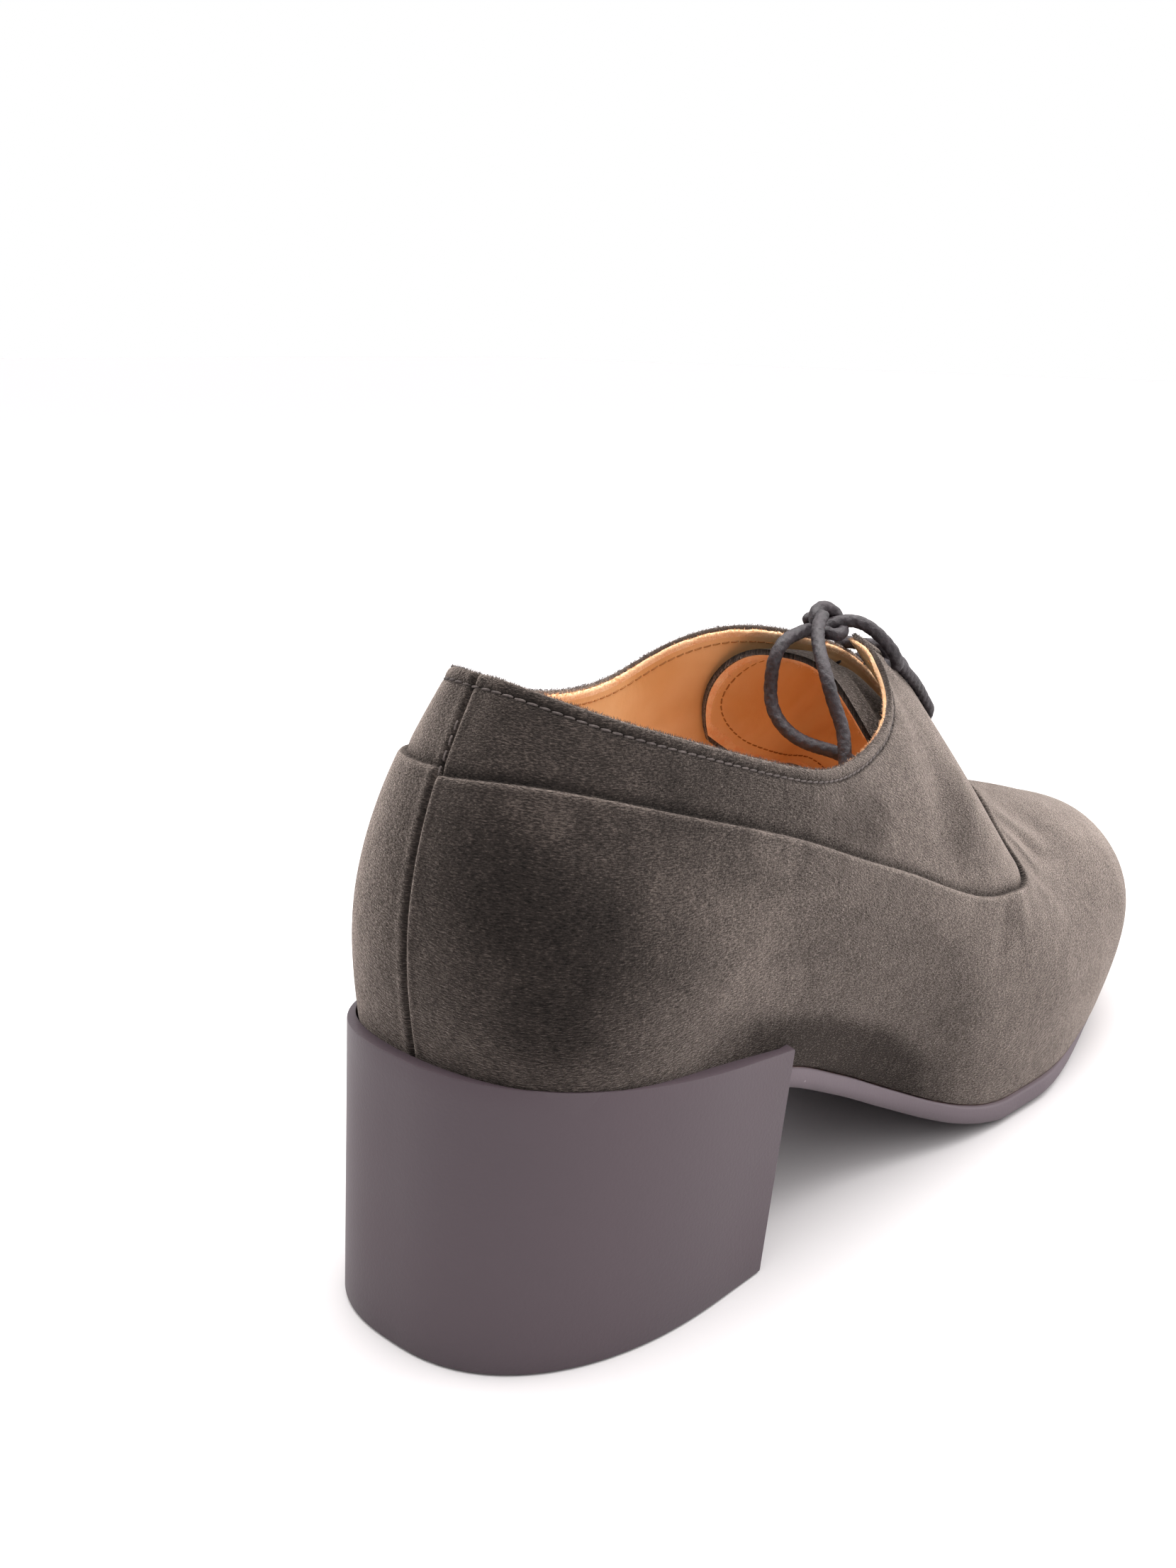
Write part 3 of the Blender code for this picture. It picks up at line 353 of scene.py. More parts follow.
def srgb(red, green, blue):
    """Linear colour of an sRGB colour given as 0 to 255."""
    value = np.array([red, green, blue]) / 255.0
    linear = np.where(value <= 0.04045, value / 12.92, ((value + 0.055) / 1.055) ** 2.4)
    return (*linear.tolist(), 1.0)


# Curves and the last

def unit(vectors):
    return vectors / np.linalg.norm(vectors, axis=-1, keepdims=True)


def travelled(points):
    """Distance along a route up to each of its points."""
    return np.concatenate([[0.0], np.cumsum(np.linalg.norm(np.diff(points, axis=0), axis=1))])


def read_along(at, travel, points):
    """Points of a route at the given distances along it."""
    return np.stack([np.interp(at, travel, row) for row in points.T], axis=-1)


def second_derivatives(knots, points, closed):
    """Second derivatives of the cubic spline through points; a closed one repeats its first point."""
    count = len(knots) - 1
    step = np.diff(knots)
    size = count if closed else count + 1
    matrix = np.eye(size)
    right = np.zeros((size,) + points.shape[1:])
    inner = range(count) if closed else range(1, count)
    for i in inner:
        before = step[i - 1]
        after = step[i]
        matrix[i] = 0.0
        matrix[i, (i - 1) % size] += before
        matrix[i, i] += 2.0 * (before + after)
        matrix[i, (i + 1) % size] += after
        slope_after = (points[i + 1] - points[i]) / after
        slope_before = (points[i] - points[(i - 1) % count if closed else i - 1]) / before
        right[i] = 6.0 * (slope_after - slope_before)
    flat = np.linalg.solve(matrix, right.reshape(size, -1))
    result = flat.reshape(right.shape)
    return np.concatenate([result, result[:1]]) if closed else result


def spline(knots, points, at, closed=False):
    """Cubic spline through points at the given knots, read at the places in at."""
    knots = np.asarray(knots, float)
    points = np.asarray(points, float)
    bend = second_derivatives(knots, points, closed)
    cell = np.clip(np.searchsorted(knots, at, side="right") - 1, 0, len(knots) - 2)
    width = knots[cell + 1] - knots[cell]
    shape = (-1,) + (1,) * (points.ndim - 1)
    left = ((knots[cell + 1] - at) / width).reshape(shape)
    right = ((at - knots[cell]) / width).reshape(shape)
    square = (width ** 2 / 6.0).reshape(shape)
    value = left * points[cell] + right * points[cell + 1]
    value += ((left ** 3 - left) * bend[cell] + (right ** 3 - right) * bend[cell + 1]) * square
    return value


def table_curve(table, index, at):
    """Curve of a table's column over its first one; it never overshoots, so a flat run stays flat."""
    x = np.array([row[0] for row in table])
    y = np.array([row[index] for row in table])
    at = np.clip(np.asarray(at, float), x[0], x[-1])
    step = np.diff(x)
    slope = np.diff(y) / step
    tangent = np.zeros(len(x))
    tangent[0] = slope[0]
    tangent[-1] = slope[-1]
    for i in range(1, len(x) - 1):
        if slope[i - 1] * slope[i] > 0:
            weight_a = 2.0 * step[i] + step[i - 1]
            weight_b = step[i] + 2.0 * step[i - 1]
            tangent[i] = (weight_a + weight_b) / (weight_a / slope[i - 1] + weight_b / slope[i])
    cell = np.clip(np.searchsorted(x, at, side="right") - 1, 0, len(x) - 2)
    width = step[cell]
    t = (at - x[cell]) / width
    value = (2 * t ** 3 - 3 * t ** 2 + 1) * y[cell] + (t ** 3 - 2 * t ** 2 + t) * width * tangent[cell]
    value += (3 * t ** 2 - 2 * t ** 3) * y[cell + 1] + (t ** 3 - t ** 2) * width * tangent[cell + 1]
    return value


def sole_top(x):
    return table_curve(SOLE_PROFILE, 1, x)


def sole_underside(x):
    return table_curve(SOLE_PROFILE, 2, x)


class Last:
    """The face of the last as smooth ribs, numbered from the back by the lateral side to the toe."""

    def __init__(self):
        table = np.array(BACK_RIB + LATERAL_RIBS + TOE_RIB + MEDIAL_RIBS[::-1])
        feather = np.column_stack([table[:, 0:2], sole_top(table[:, 0]) + CLEARANCE])
        self.nodes = np.stack([feather, table[:, 2:5], table[:, 5:8], table[:, 8:11]], axis=1)
        self.count = len(table)
        spacing = np.linalg.norm(np.roll(self.nodes, -1, axis=0) - self.nodes, axis=2).mean(axis=1)
        self.knots = np.concatenate([[0.0], np.cumsum(spacing)])
        fine = np.linspace(0.0, 1.0, 401)
        heights = self.points_on(self.nodes, np.tile(fine, (self.count, 1)))[:, :, 2]
        above = heights >= table[:, 11:12]
        self.seam_nodes = np.where(above.any(axis=1), fine[above.argmax(axis=1)], 1.0)

    def place(self, stations):
        whole = np.arange(self.count + 1)
        return np.interp(np.mod(stations, self.count), whole, self.knots)

    def controls(self, stations):
        closed = np.concatenate([self.nodes, self.nodes[:1]])
        return spline(self.knots, closed, self.place(stations), closed=True)

    def seam(self, stations):
        closed = np.append(self.seam_nodes, self.seam_nodes[0])
        return np.clip(spline(self.knots, closed, self.place(stations), closed=True), 0.05, 0.988)

    @staticmethod
    def points_on(controls, heights):
        rows = []
        for control, fractions in zip(controls, heights):
            along = travelled(control)
            rows.append(spline(along / along[-1], control, fractions))
        return np.array(rows)

    def surface(self, stations, heights):
        """Points and outward normals at stations, with a row of rib fractions for each."""
        small_turn = 0.02
        small_rise = 0.004
        stations = np.asarray(stations, float)
        here = self.controls(stations)
        points = self.points_on(here, heights)
        along = (self.points_on(self.controls(stations + small_turn), heights)
                 - self.points_on(self.controls(stations - small_turn), heights))
        up = (self.points_on(here, np.clip(heights + small_rise, 0.0, 1.0))
              - self.points_on(here, np.clip(heights - small_rise, 0.0, 1.0)))
        return points, unit(np.cross(along, up))

    def rib_lengths(self, stations):
        fractions = np.tile(np.linspace(0.0, 1.0, 41), (len(stations), 1))
        points = self.points_on(self.controls(stations), fractions)
        return np.linalg.norm(np.diff(points, axis=1), axis=2).sum(axis=1)


def fine_stations(last):
    """Ribs about a millimetre apart, closer where the seam turns its lobe and along the back seam."""
    stations = []
    for whole in range(last.count):
        from_back = min(whole, last.count - 1 - whole)
        closer = 2.0 if 9 <= from_back <= 12 else 1.0
        span = last.knots[whole + 1] - last.knots[whole]
        parts = max(6, int(np.ceil(span * closer / RIB_SPACING)))
        stations.extend(whole + np.arange(parts) / parts)
    near_back = np.linspace(0.0, 0.3, 25)[1:]
    stations = np.array(stations)
    keep = np.minimum(stations, last.count - stations) > near_back[-1] + 0.005
    return np.sort(np.concatenate([[0.0], near_back, stations[keep], last.count - near_back]))


# Meshes

def new_mesh(name, points, faces, sharp=180.0):
    """A smooth mesh of points in millimetres, with hard edges where it turns by more than an angle."""
    mesh = bpy.data.meshes.new(name)
    mesh.from_pydata(row_frame(points).tolist(), [], faces)
    mesh.shade_smooth()
    if sharp < 180.0:
        mesh.set_sharp_from_angle(angle=np.radians(sharp))
    return mesh


def new_object(name, mesh, materials):
    mesh.validate()
    for finish in materials:
        mesh.materials.append(finish)
    made = bpy.data.objects.new(name, mesh)
    bpy.context.scene.collection.objects.link(made)
    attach(made, "root")
    return made


def set_skin_data(mesh, coordinates, tones):
    """Unwrapped coordinates of each face corner, in millimetres, and the tone at each point: the nap's, with
    painted shade and highlights.
    """
    layer = mesh.uv_layers.new(name="UVMap")
    layer.data.foreach_set("uv", (coordinates * UNWRAP_SCALE).reshape(-1))
    mesh.attributes.new("tone", "FLOAT", "POINT").data.foreach_set("value", tones.reshape(-1).tolist())


def corner_grid(points):
    """Numbers of the corners of a grid of points."""
    return np.arange(points.shape[0] * points.shape[1]).reshape(points.shape[:2])


def cells(grid):
    """The four corners of each cell of a grid, in turn."""
    return np.stack([grid[:-1, :-1], grid[:-1, 1:], grid[1:, 1:], grid[1:, :-1]], axis=2)


def round_faces(index):
    """Faces between neighbouring rings, all the way round."""
    return cells(np.column_stack([index, index[:, 0]])).reshape(-1, 4)


def rungs(row):
    """Faces that close a row of corners, from its two ends to its middle like the rungs of a ladder."""
    faces = []
    for k in range(len(row) // 2):
        corners = list(dict.fromkeys(int(row[place]) for place in (k, k + 1, -2 - k, -1 - k)))
        if len(corners) > 2:
            faces.append(corners)
    return faces


def turned(faces):
    return [face[::-1] for face in faces]


def capped_skin(name, rings, finish):
    """A closed body over rings of points, filled across its first and its last ring."""
    points = np.array(rings)
    index = corner_grid(points)
    faces = round_faces(index).tolist()
    faces += turned(rungs(np.append(index[0], index[0, 0])))
    faces += rungs(np.append(index[-1], index[-1, 0]))
    return new_object(name, new_mesh(name, points.reshape(-1, 3), faces), [finish])


def sweep(route, radius, step, sides, relief=None):
    """Rings of a round tube along a route, on frames that don't twist, and its centre line."""
    centre = smooth_route(route, step)
    tangent = unit(np.gradient(centre, axis=0))
    side = unit(np.cross(tangent[0], (0.3, 0.2, 1.0)))
    rings = []
    angles = np.linspace(0.0, 2.0 * np.pi, sides, endpoint=False)
    for point, along, distance in zip(centre, tangent, travelled(centre)):
        side = unit(side - along * np.dot(side, along))
        other = np.cross(along, side)
        size = radius if relief is None else radius + relief(distance, angles)
        size = np.broadcast_to(size, angles.shape)[:, None]
        rings.append(point + size * (np.cos(angles)[:, None] * side + np.sin(angles)[:, None] * other))
    return rings, centre


def smooth_route(points, spacing):
    """Evenly spaced points on the smooth curve through a route."""
    points = np.array(points, float)
    chord = travelled(points)
    fine = spline(chord, points, np.linspace(0.0, chord[-1], 1200))
    length = travelled(fine)
    count = max(3, int(round(length[-1] / spacing)) + 1)
    return read_along(np.linspace(0.0, length[-1], count), length, fine)


def joined_mesh(name, shells, finish):
    """One object from several closed shells of points and faces."""
    points = []
    faces = []
    start = 0
    for shell_points, shell_faces in shells:
        points.append(shell_points)
        faces.extend([[corner + start for corner in face] for face in shell_faces])
        start += len(shell_points)
    return new_object(name, new_mesh(name, np.concatenate(points), faces), [finish])


def tube_shell(rings):
    """Closed shell of points and faces from the rings of a tube, its ends drawn in round."""
    rings = np.array(rings)
    middles = rings.mean(axis=1)
    step = np.linalg.norm(middles[1] - middles[0])
    reach = np.linalg.norm(rings[0, 0] - middles[0])

    def dome(end, inner):
        outward = (middles[end] - middles[inner]) / step
        return [middles[end] + (rings[end] - middles[end]) * size + outward * reach * lift
                for size, lift in ((0.85, 0.28), (0.5, 0.48), (0.12, 0.55))]

    points = np.array(dome(0, 1)[::-1] + list(rings) + dome(-1, -2))
    index = corner_grid(points)
    faces = round_faces(index).tolist()
    faces += [index[0][::-1].tolist(), index[-1].tolist()]
    return points.reshape(-1, 3), faces


# Materials

class Nodes:
    """Short names for the nodes of a material or a world."""

    def __init__(self, owner):
        self.owner = owner
        self.owner.use_nodes = True
        self.tree = self.owner.node_tree

    def feed(self, node, inputs):
        """Sets the inputs of a node, each to a plain value or to a link from another node."""
        for key, value in inputs.items():
            if isinstance(value, bpy.types.NodeSocket):
                self.tree.links.new(value, node.inputs[key])
            else:
                node.inputs[key].default_value = value

    def make(self, kind, output, inputs, **values):
        made = self.tree.nodes.new("ShaderNode" + kind)
        for key, value in values.items():
            setattr(made, key, value)
        self.feed(made, inputs)
        return made.outputs[output]

    def finish(self, inputs):
        self.feed(self.tree.nodes["Principled BSDF"], inputs)
        return self.owner

    def place(self, source="Object", stretch=(1.0, 1.0, 1.0), turn=0.0):
        """Coordinates of the object in metres, or of its unwrapped skin, ten units to a metre."""
        if source == "UV":
            start = self.make("UVMap", "UV", {}, uv_map="UVMap")
        else:
            start = self.make("TexCoord", source, {})
        inputs = {"Vector": start, "Scale": stretch, "Rotation": (0.0, 0.0, turn)}
        return self.make("Mapping", "Vector", inputs)

    def noise(self, vector, scale, detail=3.0, roughness=0.55, distortion=0.0):
        return self.make("TexNoise", "Fac", {"Vector": vector, "Scale": scale, "Detail": detail,
                                             "Roughness": roughness, "Distortion": distortion})

    def ramp(self, value, low, high, from_value=0.0, to_value=1.0, shape="LINEAR"):
        return self.make("MapRange", "Result", {"Value": value, "From Min": low, "From Max": high,
                                                "To Min": from_value, "To Max": to_value},
                         interpolation_type=shape)

    def math(self, operation, *inputs):
        return self.make("Math", "Value", dict(enumerate(inputs)), operation=operation)

    def mix(self, share, first, second):
        return self.make("Mix", "Result", {"Factor": share, "A": first, "B": second}, data_type="RGBA")

    def bump(self, height, distance, strength):
        return self.make("Bump", "Normal", {"Height": height, "Distance": distance, "Strength": strength})


def material_nodes(name):
    return Nodes(bpy.data.materials.new(name))


def suede(name, dark, middle, light):
    """Brushed nap: fine flecks, short hairs along the skin, soft brushed areas, the painted shade and
    highlights carried by the tone, and a velvet sheen.
    """
    nodes = material_nodes(name)
    tone = nodes.make("Attribute", "Fac", {}, attribute_name="tone")
    value = nodes.math("MULTIPLY_ADD", tone, 0.4, 0.5)
    layers = []
    for source, stretch, turn, *grain, weight in NAP_LAYERS:
        layers.append(nodes.noise(nodes.place(source, stretch, turn), *grain))
        value = nodes.math("MULTIPLY_ADD", nodes.math("SUBTRACT", layers[-1], 0.5), weight, value)
    flecks, hairs = layers[:2]
    lower = nodes.mix(nodes.ramp(value, 0.05, 0.5), dark, middle)
    relief = nodes.math("MULTIPLY_ADD", flecks, 0.5, nodes.math("MULTIPLY", hairs, 0.7))
    return nodes.finish({
        "Base Color": nodes.mix(nodes.ramp(value, 0.5, 0.98), lower, light),
        "Normal": nodes.bump(relief, 0.0006, 0.65),
        "Roughness": 0.95,
        "Specular IOR Level": 0.12,
        "Sheen Weight": 1.0,
        "Sheen Roughness": 0.45,
        "Sheen Tint": nodes.mix(nodes.ramp(value, 0.1, 0.9), srgb(114, 102, 95), srgb(255, 238, 226)),
    })


def lining_leather(name, base, deep, pale):
    """Smooth vegetable-tanned lining: faint pores, soft wrinkles and uneven tan."""
    nodes = material_nodes(name)
    clouds = nodes.noise(nodes.place(), 40.0, 3.0, 0.5, 0.5)
    pores = nodes.noise(nodes.place(), 900.0, 2.0, 0.6)
    wrinkles = nodes.noise(nodes.place("Object", (1.0, 1.0, 0.35)), 160.0, 3.0, 0.55, 0.8)
    lower = nodes.mix(nodes.ramp(clouds, 0.3, 0.55), deep, base)
    return nodes.finish({
        "Base Color": nodes.mix(nodes.ramp(clouds, 0.52, 0.8), lower, pale),
        "Normal": nodes.bump(nodes.math("MULTIPLY_ADD", pores, 0.35, wrinkles), 0.0004, 0.35),
        "Roughness": nodes.ramp(wrinkles, 0.3, 0.7, 0.42, 0.6),
        "Specular IOR Level": 0.35,
    })


def cut_edge(name, base, pale):
    """Raw cut leather: fibrous, pale and matte."""
    nodes = material_nodes(name)
    fibre = nodes.noise(nodes.place(), 1400.0, 3.0, 0.7)
    patches = nodes.noise(nodes.place(), 260.0, 2.0, 0.5)
    share = nodes.math("MULTIPLY_ADD", fibre, 0.6, nodes.math("MULTIPLY", patches, 0.5))
    return nodes.finish({
        "Base Color": nodes.mix(nodes.ramp(share, 0.3, 0.8), base, pale),
        "Normal": nodes.bump(fibre, 0.0004, 0.8),
        "Roughness": 0.9,
    })


def moulded(name, base, shade, dust, roughness, dust_from):
    """Matte moulded surface with a trace of cloudiness and dust specks."""
    nodes = material_nodes(name)
    clouds = nodes.noise(nodes.place(), 30.0, 3.0, 0.5)
    grain = nodes.noise(nodes.place(), 1500.0, 2.0, 0.6)
    specks = nodes.noise(nodes.place(), 520.0, 1.0, 0.4)
    clean = nodes.mix(nodes.ramp(clouds, 0.3, 0.7), shade, base)
    return nodes.finish({
        "Base Color": nodes.mix(nodes.ramp(specks, dust_from, dust_from + 0.03), clean, dust),
        "Normal": nodes.bump(grain, 0.0002, 0.25),
        "Roughness": nodes.ramp(clouds, 0.3, 0.7, roughness - 0.05, roughness + 0.06),
        "Specular IOR Level": 0.4,
    })


def thread(name, base, light, roughness):
    """Twisted or braided cord with a waxed sheen."""
    nodes = material_nodes(name)
    fibre = nodes.noise(nodes.place(), 1600.0, 2.0, 0.6)
    wear = nodes.noise(nodes.place(), 180.0, 3.0, 0.55)
    share = nodes.math("MULTIPLY_ADD", fibre, 0.55, nodes.math("MULTIPLY", wear, 0.55))
    return nodes.finish({
        "Base Color": nodes.mix(nodes.ramp(share, 0.4, 0.85), base, light),
        "Normal": nodes.bump(fibre, 0.0003, 0.6),
        "Roughness": nodes.ramp(wear, 0.3, 0.7, roughness, roughness + 0.2),
        "Specular IOR Level": 0.45,
    })


SUEDE = suede("suede", srgb(9, 8, 7), srgb(33, 28, 26), srgb(80, 71, 66))
LINING = lining_leather("lining", srgb(243, 198, 146), srgb(229, 176, 118), srgb(249, 213, 168))
NAP_HAIR = cut_edge("nap_hair", srgb(62, 55, 52), srgb(110, 100, 95))
RAW_EDGE = cut_edge("raw_edge", srgb(244, 178, 122), srgb(254, 222, 184))
SOCK = lining_leather("sock_leather", srgb(216, 176, 146), srgb(192, 148, 118), srgb(232, 198, 172))
HEEL_FINISH = moulded("heel_cover", srgb(76, 64, 70), srgb(71, 60, 66), srgb(140, 128, 132), 0.5, 0.86)
SOLE_FINISH = moulded("sole_rubber", srgb(97, 86, 92), srgb(89, 78, 84), srgb(150, 138, 144), 0.6, 0.82)
LACE_FINISH = thread("waxed_lace", srgb(27, 22, 26), srgb(64, 55, 60), 0.45)
STITCH_DARK = thread("dark_thread", srgb(58, 50, 48), srgb(112, 102, 98), 0.6)
STITCH_TAN = thread("tan_thread", srgb(150, 96, 46), srgb(196, 140, 84), 0.6)


# The upper

def from_segment(points, row):
    """Distance of each point from a table row's segment, and its share along it."""
    start = np.array(row[0:3])
    along = np.array(row[3:6]) - start
    share = np.clip(((points - start) @ along) / (along @ along), 0.0, 1.0)
    return np.linalg.norm(points - (start + share[..., None] * along), axis=-1), share


def crease_field(points):
    """Height of the creases at each point, ridges above zero and troughs below."""
    total = np.zeros(points.shape[:-1])
    for row in CREASES:
        away, share = from_segment(points, row)
        fade = np.sin(np.pi * np.clip(0.12 + 0.76 * share, 0.0, 1.0)) ** 0.8
        total += row[7] * np.exp(-(away / row[6]) ** 2) * fade
    return total


def nap_and_painted_light_tone(points):
    """Tone of the brushed strokes and of the painted highlight and shade among them, their outlines bent so
    that they look brushed by hand.
    """
    wander = np.sin(points[..., [1, 2, 0]] / 5.0 + points[..., [2, 0, 1]] / 8.0)
    fine = np.sin(points[..., [2, 0, 1]] / 1.9 - points[..., [0, 1, 2]] / 3.1)
    bent = points + 0.9 * wander + 0.3 * fine
    total = np.zeros(points.shape[:-1])
    for row in NAP_STROKES_AND_PAINTED_LIGHT:
        away, _ = from_segment(bent, row)
        total += row[7] * np.exp(-(away / row[6]) ** 4)
    return total


def painted_waist_shade_tone(points):
    """Painted shade in a band low on the outer waist, where the side turns under, with a crisp upper edge.
    """
    x = points[..., 0]
    edge = table_curve(PAINTED_WAIST_SHADE, 1, x)
    under = 1.0 / (1.0 + np.exp(np.clip((points[..., 2] - edge) / PAINTED_WAIST_SHADE_EDGE, -40.0, 40.0)))
    ends = np.interp(x, PAINTED_WAIST_SHADE_ENDS, (0.0, 1.0, 1.0, 0.0))
    return PAINTED_WAIST_SHADE_TONE * under * ends * (points[..., 1] < 0.0)


def back_seam_field(points):
    """The closed seam up the back: a groove with the two panels rolled in towards it."""
    across = points[..., 1]
    near = points[..., 0] < 40.0
    groove = -0.55 * np.exp(-(across / 0.4) ** 2) + 0.15 * np.exp(-((np.abs(across) - 1.3) / 0.8) ** 2)
    return np.where(near, groove, 0.0)


def collar_room(seam, lengths):
    """Share of the collar rows' full distances that fits between the seam and the edge."""
    return np.clip((1.0 - seam) * lengths / COLLAR_FULL_ROOM, COLLAR_LEAST_ROOM, 1.0)


def upper_rows(last, stations):
    """Rings of the upper from the feather line up the outside, over the collar and down inside."""
    lengths = last.rib_lengths(stations)
    from_back = np.minimum(stations, last.count - stations)
    back_step = np.where(stations < last.count / 2, -BACK_STEP, BACK_STEP)
    seam = last.seam(stations) + back_step * np.exp(-(from_back / 0.5) ** 2) / lengths
    room = collar_room(seam, lengths) / lengths
    feather_x = feather_loop(last, stations)[:, 0]
    deep = 1.0 + LOBE_GROOVE * np.exp(-((feather_x - LOBE_X) / LOBE_REACH) ** 2)
    rows = []

    def add(fractions, offsets, slot, tone=0.0):
        offsets = np.broadcast_to(offsets, fractions.shape)
        tone = np.broadcast_to(tone, fractions.shape)
        rows.append((np.clip(fractions, 0.0, 1.0), offsets, slot, tone))

    for rise in np.linspace(0.0, 1.0, 50) ** 1.05:
        add((seam - GALOSH_LIP_START / lengths) * rise, GALOSH_PROUD, SUEDE_SLOT)
    # The galosh's edge, with its painted highlight.
    for below, offset, tone in GALOSH_LIP:
        add(seam - below / lengths, offset, SUEDE_SLOT, tone)
    # The foot of the step, with its painted shadow deepened along the lobe's groove.
    for above, offset, tone in SEAM_FOOT:
        sunk = -QUARTER_SUNK + (offset + QUARTER_SUNK) * deep
        add(seam + above * room, sunk, SUEDE_SLOT, tone * deep)
    foot = seam + QUARTER_START * room
    head = 1.0 - COLLAR_BAND * room
    for rise in np.linspace(0.0, 1.0, 24):
        add(foot + (head - foot) * rise, -QUARTER_SUNK, SUEDE_SLOT, QUARTER_TONE)
    # The collar's edge, with painted shade in its stitch groove and a painted sheen on its roll.
    for below, offset, tone in COLLAR_EDGE:
        add(1.0 - below * room, offset, SUEDE_SLOT, tone)
    fray = RANDOM.normal(0.0, 0.09, len(stations))
    for below, offset in LINING_RAW_EDGE:
        add(1.0 - (below + LINING_TOP_GAP + fray) * room, offset, RAW_SLOT)
    for below, offset in LINING_SEWN_BAND:
        add(1.0 - (below + LINING_TOP_GAP) * room, offset, LINING_SLOT)
    for rise in np.linspace(1.0, 0.0, 34):
        add(head * rise, -WALL_DEPTH, LINING_SLOT)
    heights, offsets, slots, tones = zip(*rows)
    return np.stack(heights, 1), np.stack(offsets, 1), np.array(slots), np.stack(tones, 1), lengths


def make_upper(last):
    stations = fine_stations(last)
    heights, offsets, slots, tones, lengths = upper_rows(last, stations)
    points, normals = last.surface(stations, heights)
    field = (crease_field(points) + back_seam_field(points)) * (slots == SUEDE_SLOT)
    moved = points + (offsets + field)[..., None] * normals
    for edge in (0, -1):
        moved[:, edge, 2] = sole_top(moved[:, edge, 0]) + CLEARANCE
    rings = moved.transpose(1, 0, 2)
    index = corner_grid(rings)
    faces = round_faces(np.vstack([index, index[:1]]))
    mesh = new_mesh("upper_shell", rings.reshape(-1, 3), faces.tolist())
    mesh.polygons.foreach_set("material_index", np.repeat(slots, len(stations)).tolist())
    around = travelled(points[:, 0])
    around = np.append(around, around[-1] + around[1])
    rise = (heights * lengths[:, None]).T
    rise = np.vstack([rise, rise[:1]])
    rise = np.column_stack([rise, rise[:, 0]])
    unwrapped = np.stack([np.broadcast_to(around, rise.shape), rise], axis=-1)
    # The tone sums the nap's strokes with the painted highlight and shade among them, the painted shade of
    # the waist band, and the rows' tones, painted light at the edges.
    tones = (nap_and_painted_light_tone(points) + painted_waist_shade_tone(points) + tones).T
    set_skin_data(mesh, cells(unwrapped), tones)
    made = new_object("upper_shell", mesh, [SUEDE, RAW_EDGE, LINING])
    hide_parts("upper")


def stitch_row(name, path, normals, pitch, length, radius, finish, tilt):
    """A row of short sewn stitches along a path, each a small rounded bar."""
    travel = travelled(path)
    shells = []
    for middle in np.arange(pitch, travel[-1] - pitch, pitch):
        ends = []
        for shift in (-0.5, -0.25, 0.0, 0.25, 0.5):
            at = middle + shift * length
            point = read_along(at, travel, path)
            normal = read_along(at, travel, normals)
            sideways = np.cross(normal, read_along(at + 0.2, travel, path) - point)
            sideways /= np.linalg.norm(sideways) + 1e-9
            lift = radius * (0.5 - 2.6 * shift ** 2)
            ends.append(point + lift * normal + tilt * shift * length * sideways)
        shells.append(tube_shell(sweep(ends, radius, length / 6.0, 6)[0]))
    return joined_mesh(name, shells, finish)


def below_edge(last, stations, distance):
    """Points and normals on the last, a distance below the collar's edge."""
    heights = 1.0 - distance / last.rib_lengths(stations)
    points, normals = last.surface(stations, heights[:, None])
    return points[:, 0], normals[:, 0]


def make_stitches(last):
    """The row under the collar's folded edge, the row that holds the lining, and the back seam's bars."""
    points, normals = below_edge(last, np.linspace(-9.2, 9.2, 700), COLLAR_STITCH)
    collar = stitch_row("collar_stitches", points - normals, normals, COLLAR_STITCH_PITCH, 1.6, 0.24,
                        STITCH_DARK, 0.12)
    points, normals = below_edge(last, np.linspace(-8.6, 8.6, 600), LINING_STITCH)
    lining = stitch_row("lining_stitches", points - (WALL_DEPTH + 0.05) * normals, -normals, 2.0, 1.5, 0.17,
                        STITCH_TAN, 0.05)
    points, normals = last.surface(np.array([0.012]), np.linspace(0.06, 0.93, 160)[None, :])
    back = stitch_row("back_stitches", points[0] - 0.35 * normals[0], normals[0], BACK_STITCH_PITCH,
                      1.5, 0.18, STITCH_DARK, 0.05)


def make_fibres(name, roots, directions, reach, finish):
    """Loose fibres as thin spikes, each with three corners at its root and a point at its end."""
    directions = unit(directions)
    side = unit(np.cross(directions, RANDOM.normal(size=directions.shape)))
    other = np.cross(directions, side)
    corners = [roots + FIBRE_RADIUS * (np.cos(turn) * side + np.sin(turn) * other)
               for turn in np.radians((0.0, 120.0, 240.0))]
    tips = roots + RANDOM.uniform(0.4, 1.0, (len(roots), 1)) * reach * directions
    points = np.stack([*corners, tips], axis=1).reshape(-1, 3)
    first = 4 * np.arange(len(roots))[:, None]
    faces = np.concatenate([first + np.array(face) for face in ((0, 1, 3), (1, 2, 3), (2, 0, 3), (2, 1, 0))])
    mesh = new_mesh(name, points, faces.tolist())
    mesh.shade_flat()
    return new_object(name, mesh, [finish])


def rim_fibres(last, count, below, depth, lean):
    """Roots and directions of fibres along the collar, a way below its edge and into its wall."""
    stations = fine_stations(last)
    travel = travelled(last.surface(stations, np.ones((len(stations), 1)))[0][:, 0])
    picked = np.interp(RANDOM.uniform(0.0, travel[-1], count), travel, stations)
    lengths = last.rib_lengths(picked)
    room = collar_room(last.seam(picked), lengths) / lengths
    points, normals = last.surface(picked, 1.0 - np.array([[below + 1.5, below]]) * room[:, None])
    roots = points[:, 1] - RANDOM.uniform(*depth, (count, 1)) * normals[:, 1]
    rise = unit(points[:, 1] - points[:, 0])
    return roots, rise + lean * normals[:, 1] + RANDOM.normal(0.0, FIBRE_SPREAD, (count, 3))


